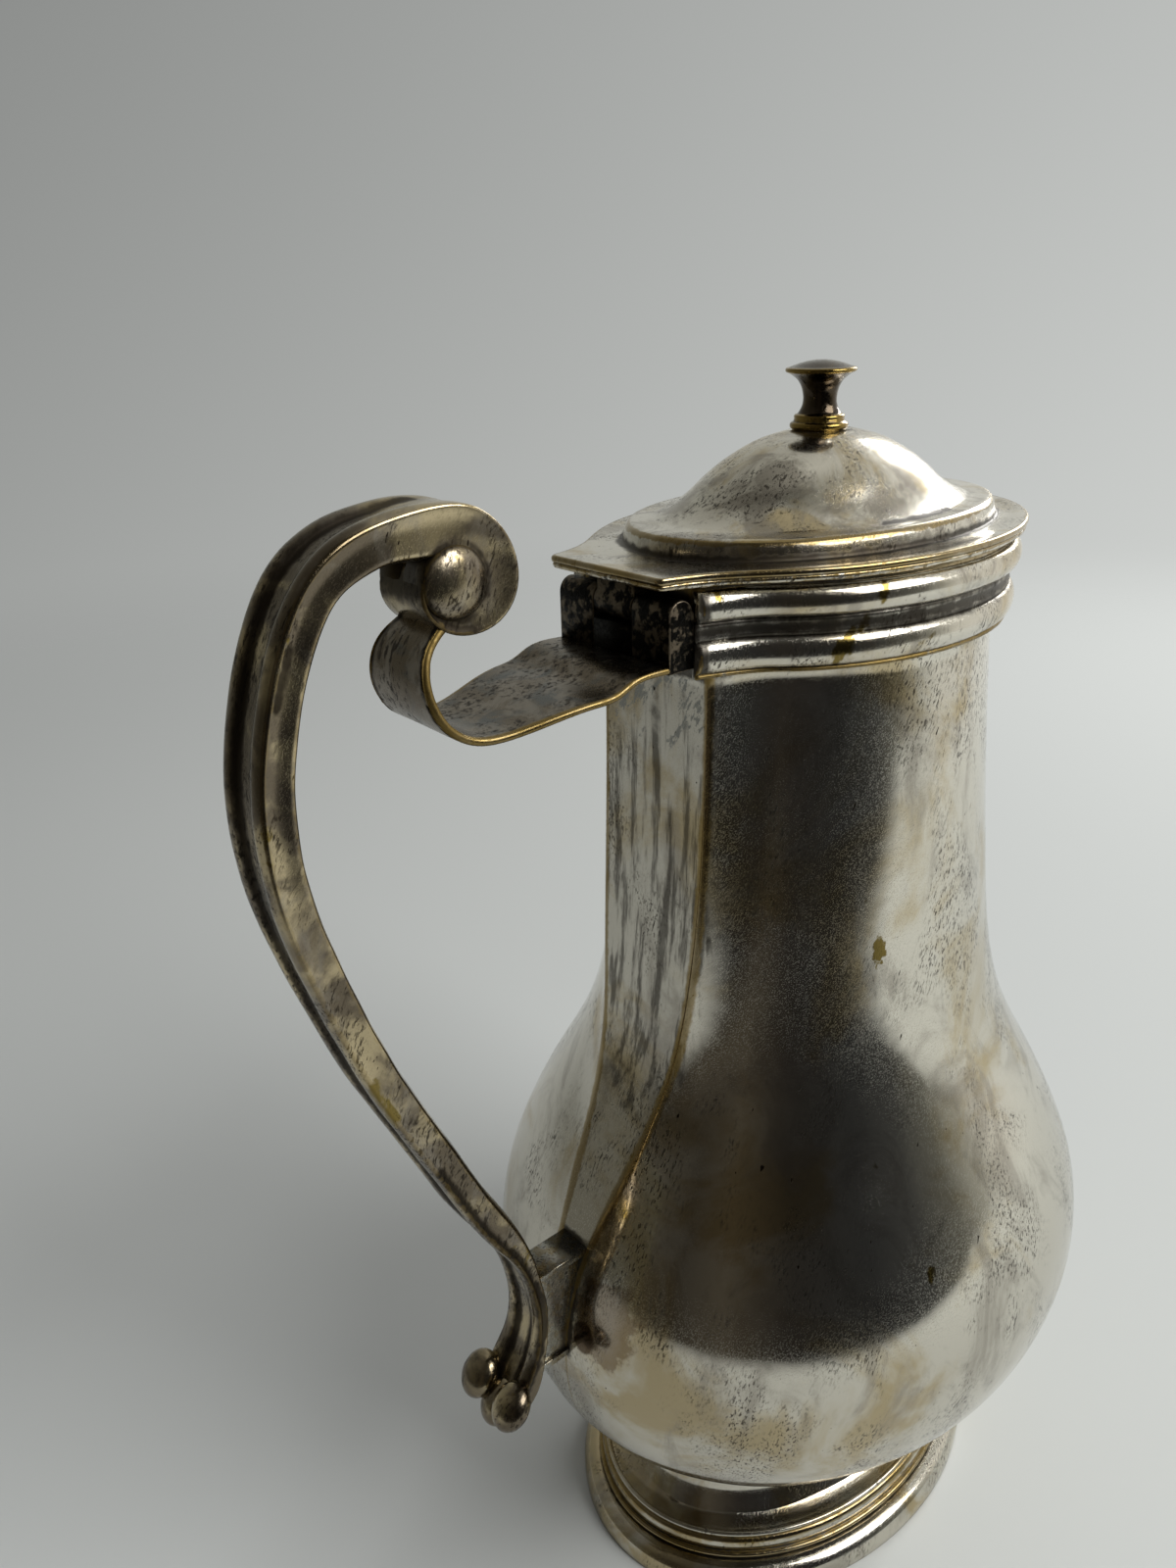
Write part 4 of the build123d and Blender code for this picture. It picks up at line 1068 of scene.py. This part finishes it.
class JUG_OT_handle(Operator):
    """Build the cast scroll handle and the socket that carries its lower end"""

    bl_idname = "jug.make_handle"
    bl_label = "Handle"

    def execute(self, context):
        at, whole = handle_curve()
        count = 220
        rings = []
        for i in range(count + 1):
            x, z, inner_x, inner_z, half, channel = at(whole * i / count)
            rings.append(handle_ring((x, z), (inner_x, inner_z), half, channel))
        bm = skin(rings, "capped")
        boss_x, boss_z, boss_radius = BOSS
        for side in (1, -1):
            before = set(bm.verts)
            rim = BOSS_RIM
            dome = [(0.0, rim + 1.55), (boss_radius * 0.35, rim + 1.45), (boss_radius * 0.65, rim + 1.1)]
            dome += [(boss_radius * 0.86, rim + 0.62), (boss_radius * 0.97, rim + 0.2)]
            dome += [(boss_radius, rim - 0.25), (boss_radius - 0.1, 0.5), (0.0, 0.5)]
            turned(bm, dome, 56)
            fresh = [v for v in bm.verts if v not in before]
            turn_about(bm, fresh, -side * 90.0, "X")
            bmesh.ops.translate(bm, verts=fresh, vec=(boss_x, 0, boss_z))
        for x, y, z, rx, ry, rz in TAIL_LOBES:
            lobe = bmesh.ops.create_uvsphere(bm, u_segments=32, v_segments=20, radius=1.0)["verts"]
            bmesh.ops.scale(bm, vec=(rx, ry, rz), verts=lobe)
            turn_about(bm, lobe, LOBE_LEAN, "Y")
            bmesh.ops.translate(bm, verts=lobe, vec=(x, y, z))
        material = worn_plate(
            "cast_plated_handle",
            clean="champagne", cloud_ink="tarnish", cloud=(12.0, 0.40, 0.58), haze=(9.0, 0.50, 0.66),
            haze_share=0.5, speck=(0.7, 0.50, 0.60), speck_zone=(8.0, 0.42, 0.56), wear=(0.15, 0.6),
            wear_share=0.25, grime=(1.1, 0.6),
            rough=0.15, bare=(8.0, 0.64, 0.68),
        )
        finish_piece(
            bm, "cast_scroll_handle", JUG, "handle_plate", material, "handle_scroll",
            wavy=(0.12, 7.0), proud_bend=0.9, hollow_bend=0.45,
            hollow=lambda p: abs(math.hypot(p.x - boss_x, p.z - boss_z) - boss_radius) + 0.1,
        )

        low, high = SOCKET_HEIGHTS
        levels = body_levels()
        route = [at(whole * i / 400) for i in range(401)]
        tail = [(row[3], row[2]) for row in route if row[3] < 95 and row[1] < 100]
        tail.sort()

        def inner_x(z):
            return float(np.interp(z, [t[0] for t in tail], [t[1] for t in tail]))

        socket = worn_plate(
            "plated_socket",
            clean="solder", haze_share=0.7, speck_zone=(6.0, 0.4, 0.55), wear=(0.1, 0.5), wear_share=0.4,
            grime=(0.8, 0.8), rough=0.22,
        )
        bm = bmesh.new()
        spans = ((low, high, 2.6), (low, low + 1.3, 3.2), (high - 1.3, high, 3.2))
        for bottom, top, half in spans:
            steps = 8 if top - bottom > 5 else 2
            heights = [bottom + (top - bottom) * i / steps for i in range(steps + 1)]
            outline = [(0.5 - levels(z)[2], z) for z in heights]
            outline += [(inner_x(z) - 0.6, z) for z in reversed(heights)]
            bar(bm, outline, -half, half, bevel=0.15)
        finish_piece(
            bm, "handle_socket_bar", JUG, "socket_plate", socket, "handle_socket", wavy=(0.08, 4.0), proud_bend=1.2
        )
        return {"FINISHED"}


def lid_plan(inset, z):
    """Ring of the lid's plan: an oval that runs out to a straight hinged edge."""
    half_length = RIM_HIGH.x - inset
    half_width = RIM_HIGH.y - inset
    rear = inset + RIM_LOW.x
    rear_half = PLATE_HIGH.y - 0.4 * inset
    side = []
    last = math.radians(LID_OVAL_END)
    for i in range(49):
        angle = last * i / 48
        side.append(Vector((half_length * math.cos(angle), half_width * math.sin(angle))))
    start = side[-1]
    heading = Vector((-half_length * math.sin(last), half_width * math.cos(last))).normalized()
    corner = Vector((rear + 1.0, rear_half))
    leave = Vector((-1.0, -0.22)).normalized()
    reach = (corner - start).length
    for i in range(1, 17):
        t = i / 16
        a = start * (1 - t) ** 3 + (start + heading * reach * 0.42) * 3 * t * (1 - t) ** 2
        b = (corner - leave * reach * 0.40) * 3 * t**2 * (1 - t) + corner * t**3
        side.append(a + b)
    for t in (0.25, 0.5, 0.75, 1.0):
        turn = Vector((rear, rear_half - 0.1))
        side.append(corner * (1 - t) ** 2 + turn * 2 * t * (1 - t) + Vector((rear, rear_half - 1.2)) * t**2)
    for share in (0.85, 0.6, 0.3):
        side.append(Vector((rear, (rear_half - 1.2) * share)))
    whole = side + [Vector((rear, 0.0))] + [Vector((p.x, -p.y)) for p in reversed(side[1:])]
    return flat_ring(whole, z)


def matched_oval(half_length, half_width, z, like):
    """Oval ring whose points lie in the same directions as the points of another ring."""
    ring = []
    for point in like:
        angle = math.atan2(point.y / half_width, point.x / half_length)
        ring.append(Vector((half_length * math.cos(angle), half_width * math.sin(angle), z)))
    return ring


def between(one, other, share, z):
    """Ring part of the way from one ring to another."""
    return [Vector((*(a.lerp(b, share)).xy, z)) for a, b in zip(one, other)]


class JUG_OT_lid(Operator):
    """Build the lid: flange, step and dome, the rim under it and the bezel that drops into the neck"""

    bl_idname = "jug.make_lid"
    bl_label = "Lid"

    def execute(self, context):
        sheet = sizes().lid_sheet / MM
        top = LID_LOW.z + sheet
        outer = lid_plan(0.0, top)
        step_long, step_wide = STEP_RING
        step = matched_oval(step_long, step_wide, top, outer)
        low = LID_LOW.z
        edges = ((0.35, low), (0.08, low + 0.1), (0.0, low + 0.35), (0.0, top - 0.4), (0.1, top - 0.14))
        rings = [lid_plan(inset, z) for inset, z in (*edges, (0.35, top), (0.8, top - 0.03))]
        edge = lid_plan(1.6, top)
        rings.append(edge)
        for share in (0.2, 0.4, 0.6, 0.8, 0.93):
            rings.append(between(edge, step, share, top - 0.22 * math.sin(math.pi * share)))

        def ring_at(long_half, wide_half, z):
            return matched_oval(long_half, wide_half, z, outer)

        rings += [ring_at(step_long - inset, step_wide - inset, top + z) for inset, z in STEP_OUTLINE]
        widths = [(h, step_long * s, step_wide * (s + 0.12 * (1 - s) * s)) for h, s in DOME_OUTLINE]
        keys = along(widths, (0, 1))
        dome = cubic_through(keys, widths)
        for i in range(1, 41):
            height, long_half, wide_half = dome(keys[-1] * i / 40)
            rings.append(ring_at(long_half, wide_half, top + height))
        crown_height, crown_long, crown_wide = widths[-1]
        crown = top + crown_height
        for share in (0.75, 0.5, 0.25):
            rings.append(ring_at(crown_long * share, crown_wide * share, crown + 0.25 * (1 - share)))
        rings += [ring_at(crown_long * share, crown_wide * share, crown - sheet) for share in (0.25, 0.6, 1.0)]
        for i in reversed(range(0, 21)):
            height, long_half, wide_half = dome(keys[-1] * i / 20)
            rings.append(ring_at(long_half - sheet, wide_half - sheet, top + height - sheet))
        for inset, z in ((3.4, 1.9), (2.2, 1.3), (1.8, 0.5), (1.6, 0.3 - sheet), (1.4, -sheet)):
            rings.append(ring_at(step_long - inset, step_wide - inset, top + z))
        rings.append(between(lid_plan(0.9, LID_LOW.z), step, 0.5, LID_LOW.z))
        bm = skin(rings)
        plate = worn_plate(
            "silver_plate_on_brass_lid",
            cloud=(15.0, 0.47, 0.62), haze=(10.0, 0.46, 0.62), haze_share=0.8, speck=(0.7, 0.50, 0.62),
            speck_zone=(10.0, 0.45, 0.58), wear=(0.4, 0.6), grime=(1.1, 0.7), rough=0.13,
        )
        knob_radius = KNOB_HIGH.x - 1.0
        finish_piece(
            bm, "domed_lid", LID, "lid_plate", plate, "lid_shell",
            wavy=(0.06, 13.0), proud_bend=0.6, hollow_bend=0.3,
            hollow=lambda p: abs(math.hypot(p.x, p.y) - knob_radius) + 0.3 if p.z > top + 12 else FAR_OFF,
        )

        lip_long = BEZEL_HIGH.x
        lip_wide = BEZEL_HIGH.y
        low, high = RIM_LOW.z, RIM_HIGH.z
        levels = [(0.5, high), (0.22, high - 0.06), (0.16, high - 0.3)]
        levels += [(0.2, low + 0.35), (0.32, low + 0.1), (0.6, low)]
        rings = [lid_plan(inset, z) for inset, z in levels]
        inner = [matched_oval(lip_long, lip_wide, z, outer) for z in (low, high)]
        rings += [between(rings[-1], inner[0], 0.5, low), *inner, between(rings[0], inner[1], 0.5, high)]
        bm = skin(rings)
        rim = worn_plate(
            "pitted_lid_rim",
            haze_share=0.5, cloud=(8.0, 0.45, 0.6), speck=(0.9, 0.5, 0.6), speck_zone=(6.0, 0.42, 0.55),
            wear=(0.15, 0.5), rough=0.2,
        )
        finish_piece(bm, "lid_rim_band", LID, "lid_plate", rim, "lid_rim", wavy=(0.16, 5.0), proud_bend=1.2)

        wall_long, wall_wide = lip_long - 3.0, lip_wide - 2.2
        bottom, shelf = BEZEL_LOW.z, RIM_LOW.z
        profile = [(0.0, bottom + 0.25), (0.0, shelf - 0.1), (0.0, shelf)]
        rings = [oval(wall_long - inset, wall_wide - inset, z) for inset, z in profile]
        rings += [oval(lip_long, lip_wide, z) for z in (shelf, BEZEL_HIGH.z)]
        rings += [oval(wall_long - 0.8, wall_wide - 0.8, z) for z in (BEZEL_HIGH.z, shelf, bottom + 0.25)]
        rings += [oval(wall_long - inset, wall_wide - inset, bottom) for inset in (0.55, 0.2)]
        bm = skin(rings)
        bezel = worn_plate("plated_bezel_strip", haze_share=0.9, wear=(0.3, 0.4), rough=0.25)
        finish_piece(
            bm, "lid_bezel_ring", LID, "moulding_plate", bezel, "lid_bezel", wavy=(0.05, 12.0), proud_bend=1.2
        )
        return {"FINISHED"}


def arc(centre, radius, start, end, steps):
    """Points of a profile arc, angles in degrees."""
    points = []
    for i in range(steps + 1):
        angle = math.radians(start + (end - start) * i / steps)
        points.append((centre[0] + radius * math.cos(angle), centre[1] + radius * math.sin(angle)))
    return points


class JUG_OT_knob(Operator):
    """Build the turned knob, and the washer and riveted stud that hold it"""

    bl_idname = "jug.make_knob"
    bl_label = "Knob"

    def execute(self, context):
        ink = colours()
        steps = sizes().round_steps
        base, top = KNOB_LOW.z, KNOB_HIGH.z
        wide = KNOB_HIGH.x
        seat = LID_HIGH.z + 0.05
        profile = [(0.0, base), (3.9, base), (4.2, seat)]
        profile += arc((4.0, seat + 0.65), 0.6, -70, 80, 6)
        profile += [(3.95, seat + 1.45), (4.0, seat + 1.6)]
        profile += arc((3.55, seat + 1.95), 0.42, -40, 90, 5)
        waist = cubic_through(
            (seat + 2.5, seat + 3.4, seat + 5.0, seat + 6.8, seat + 8.0, seat + 8.5),
            [(3.35,), (2.85,), (2.65,), (3.15,), (4.2,), (wide - 0.55,)],
        )
        for i in range(19):
            z = seat + 2.5 + 6.0 * i / 18
            profile.append((float(waist(z)[0]), z))
        profile += arc((wide - 0.38, seat + 8.95), 0.38, -60, 95, 7)
        rise = top - (seat + 9.3)
        for share in (0.85, 0.65, 0.45, 0.25, 0.0):
            profile.append(((wide - 0.5) * share, seat + 9.3 + rise * (1 - share**2)))
        bm = bmesh.new()
        turned(bm, profile, steps)
        bronze = dark_metal(
            "dark_turned_bronze", ink.bronze, ink.brass,
            rough=0.07, wear=(0.35, 0.5), mottle=(3.0, 0.5, 0.68), pit=MARK_DEPTH,
        )
        finish_piece(bm, "turned_knob", LID, "knob_metal", bronze, "lid_knob", proud_bend=0.8)

        grey = dark_metal("grey_brass_fixing", ink.haze, ink.plate, rough=0.3)
        bm = bmesh.new()
        radius = WASHER_HIGH.x
        low, high = WASHER_LOW.z, WASHER_HIGH.z
        edge = [(radius - 0.15, low), (radius, low + 0.15), (radius, high - 0.1), (radius - 0.1, high)]
        turned(bm, [(0.0, low), *edge, (0.0, high)], 48)
        finish_piece(bm, "fixing_washer", LID, "hinge_metal", grey, "knob_washer", proud_bend=1.5)
        bm = bmesh.new()
        head = STUD_HIGH.x
        profile = [(0.0, STUD_LOW.z)] + arc((0.0, low - 0.1), 1.0, -90, 0, 5)[1:-1]
        profile = [(r * head, low - 0.05 + (z - low + 0.1) * (low - STUD_LOW.z)) for r, z in profile[1:]]
        profile = [(0.0, STUD_LOW.z), *profile, (head, low - 0.05), (head - 0.1, low + 0.02)]
        profile += [(STUD_RADIUS, low + 0.02), (STUD_RADIUS, high), (0.0, high)]
        turned(bm, profile, 40)
        finish_piece(bm, "riveted_stud", LID, "hinge_metal", grey, "knob_stud", proud_bend=1.5)
        return {"FINISHED"}


class JUG_OT_stage(Operator):
    """Set up the pale floor, the soft light and the camera at the photograph's viewpoint"""

    bl_idname = "jug.make_stage"
    bl_label = "Stage"

    def execute(self, context):
        settings = context.scene.jug_stage
        self.floor(settings)
        self.room(settings)
        self.lamps(settings)
        self.camera()
        context.scene.view_settings.view_transform = "Standard"
        return {"FINISHED"}

    def floor(self, settings):
        bm = bmesh.new()
        bmesh.ops.create_circle(bm, cap_ends=True, cap_tris=True, radius=4.0, segments=96)
        mesh = bpy.data.meshes.new("floor")
        bm.to_mesh(mesh)
        bm.free()
        floor = bpy.data.objects.new("floor", mesh)
        bpy.context.scene.collection.objects.link(floor)
        material = bpy.data.materials.new("matt_board")
        material.use_nodes = True
        tree = material.node_tree
        tree.nodes.clear()
        where = add(tree, "ShaderNodeTexCoord").outputs["Object"]
        away = add(tree, "ShaderNodeVectorMath", {0: where}, operation="LENGTH").outputs["Value"]
        toward = along_way(tree, where, TOWARD_CAMERA)
        gone = maths(tree, "MAXIMUM", fade(tree, away, *FLOOR_END), fade(tree, toward, *FLOOR_EDGE))
        board = add(tree, "ShaderNodeBsdfDiffuse", {"Color": settings.floor})
        clear = add(tree, "ShaderNodeBsdfTransparent")
        mixed = add(tree, "ShaderNodeMixShader", {0: gone, 1: board.outputs[0], 2: clear.outputs[0]})
        add(tree, "ShaderNodeOutputMaterial", {"Surface": mixed.outputs[0]})
        mesh.materials.append(material)

    def room(self, settings):
        world = bpy.data.worlds.new("soft_room")
        bpy.context.scene.world = world
        world.use_nodes = True
        tree = world.node_tree
        tree.nodes.clear()
        ray = add(tree, "ShaderNodeTexCoord").outputs["Generated"]
        parts = add(tree, "ShaderNodeSeparateXYZ", {0: ray})
        turn = maths(tree, "ARCTAN2", parts.outputs[1], parts.outputs[0])
        low_wall = self.wall(tree, turn, (
            (-180, "4A4741"), (-165, "37342F"), (-148, "4A453C"), (-125, "2A2826"), (-96, "2C2D2E"),
            (-78, "3E3F3F"), (-64, "62625C"), (-52, "A4A49C"), (-40, "E4E3DC"), (-15, "F0EFEA"),
            (15, "EAEAE4"), (45, "C4C5C0"),
            (75, "9C9D97"), (108, "82837D"), (138, "706F68"), (165, "545248"),
        ))
        high_wall = self.wall(tree, turn, (
            (-180, "5A5852"), (-150, "4A4843"), (-115, "42413D"), (-80, "55554F"), (-50, "9A9A93"),
            (-5, "D0D0CA"),
            (50, "B4B4AE"), (100, "7E7D77"), (150, "66645E"),
        ))
        seen = blend(tree, fade(tree, parts.outputs[2], 0.40, 0.80), low_wall, high_wall)
        # Painted shade: the backdrop the camera sees grows darker up and to the left of its view
        level = maths(tree, "ADD", along_way(tree, ray, BACKDROP_SHADE_SLOPE), BACKDROP_LEVEL)
        inputs = {0: settings.backdrop[:3], "Scale": level}
        backdrop = add(tree, "ShaderNodeVectorMath", inputs, operation="SCALE").outputs[0]
        path = add(tree, "ShaderNodeLightPath")
        shiny = maths(tree, "MAXIMUM", path.outputs["Is Glossy Ray"], path.outputs["Is Transmission Ray"])
        light = settings.room_light
        tone = blend(tree, shiny, (light, light, light, 1.0), seen)
        tone = blend(tree, path.outputs["Is Camera Ray"], tone, backdrop)
        back = add(tree, "ShaderNodeBackground", {"Color": tone, "Strength": 1.0})
        add(tree, "ShaderNodeOutputWorld", {"Surface": back.outputs[0]})

    def wall(self, tree, turn, stops):
        """Colours round the room from degrees and codes, as seen in the metal."""
        share = add(tree, "ShaderNodeMapRange", {0: turn, 1: -math.pi, 2: math.pi, 3: 0.0, 4: 1.0}).outputs[0]
        ramp = add(tree, "ShaderNodeValToRGB", {0: share})
        elements = ramp.color_ramp.elements
        while len(elements) < len(stops):
            elements.new(0.5)
        for element, (degrees, code) in zip(elements, stops):
            element.position = (degrees + 180) / 360
            element.color = hex_linear(code)
        return ramp.outputs[0]

    def lamps(self, settings):
        # Name, degrees round from +X, degrees up, distance, width and height in metres, power
        rows = (
            ("key_softbox", -68.0, 40.0, 1.1, 0.75, 0.6, settings.key_power),
            ("side_softbox", 12.0, 24.0, 1.2, 0.35, 0.5, settings.side_power),
        )
        aim = Vector((0.0, 0.0, 0.12))
        for name, turn, rise, far, wide, tall, power in rows:
            lamp = bpy.data.lights.new(name, "AREA")
            lamp.shape = "RECTANGLE"
            lamp.size = wide
            lamp.size_y = tall
            lamp.energy = power
            holder = bpy.data.objects.new(name, lamp)
            bpy.context.scene.collection.objects.link(holder)
            turn, rise = math.radians(turn), math.radians(rise)
            flat = math.cos(rise) * far
            way = Vector((flat * math.cos(turn), flat * math.sin(turn), math.sin(rise) * far))
            holder.location = aim + way
            holder.rotation_euler = (-way).to_track_quat("-Z", "Y").to_euler()

    def camera(self):
        data = bpy.data.cameras.new("camera")
        data.lens = CAMERA_LENS
        data.sensor_width = CAMERA_SENSOR
        data.clip_start = 0.01
        camera = bpy.data.objects.new("camera", data)
        bpy.context.scene.collection.objects.link(camera)
        place = Matrix.Translation(Vector(CAMERA_PLACE) * MM)
        turn = Matrix.Rotation(math.radians(CAMERA_TURN), 4, "Z")
        dip = Matrix.Rotation(math.radians(90 - CAMERA_DIP), 4, "X")
        roll = Matrix.Rotation(math.radians(CAMERA_ROLL), 4, "Z")
        camera.matrix_world = place @ turn @ dip @ roll
        bpy.context.scene.camera = camera


OPERATORS = (
    JUG_OT_body,
    JUG_OT_foot,
    JUG_OT_neck_mouldings,
    JUG_OT_hinge,
    JUG_OT_strap,
    JUG_OT_handle,
    JUG_OT_lid,
    JUG_OT_knob,
    JUG_OT_stage,
)


class JUG_PT_panel(Panel):
    """Panel with every step of the jug"""

    bl_label = "Barber's Jug"
    bl_idname = "JUG_PT_panel"
    bl_space_type = "VIEW_3D"
    bl_region_type = "UI"
    bl_category = "Jug"

    def draw(self, context):
        for group in (context.scene.jug_sizes, context.scene.jug_colours, context.scene.jug_stage):
            box = self.layout.box()
            for name in group.__annotations__:
                box.prop(group, name)
        for operator in OPERATORS:
            self.layout.operator(operator.bl_idname)


CLASSES = (JugSizes, JugColours, JugStage, *OPERATORS, JUG_PT_panel)


def register():
    for cls in CLASSES:
        bpy.utils.register_class(cls)
    bpy.types.Scene.jug_sizes = PointerProperty(type=JugSizes)
    bpy.types.Scene.jug_colours = PointerProperty(type=JugColours)
    bpy.types.Scene.jug_stage = PointerProperty(type=JugStage)


def unregister():
    del bpy.types.Scene.jug_stage
    del bpy.types.Scene.jug_colours
    del bpy.types.Scene.jug_sizes
    for cls in reversed(CLASSES):
        bpy.utils.unregister_class(cls)


def main():
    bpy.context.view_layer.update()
    register()
    bpy.ops.jug.make_body()
    bpy.ops.jug.make_foot()
    bpy.ops.jug.make_neck_mouldings()
    bpy.ops.jug.make_hinge()
    bpy.ops.jug.make_strap()
    bpy.ops.jug.make_handle()
    bpy.ops.jug.make_lid()
    bpy.ops.jug.make_knob()
    bpy.ops.jug.make_stage()


if __name__ == "__main__":
    main()
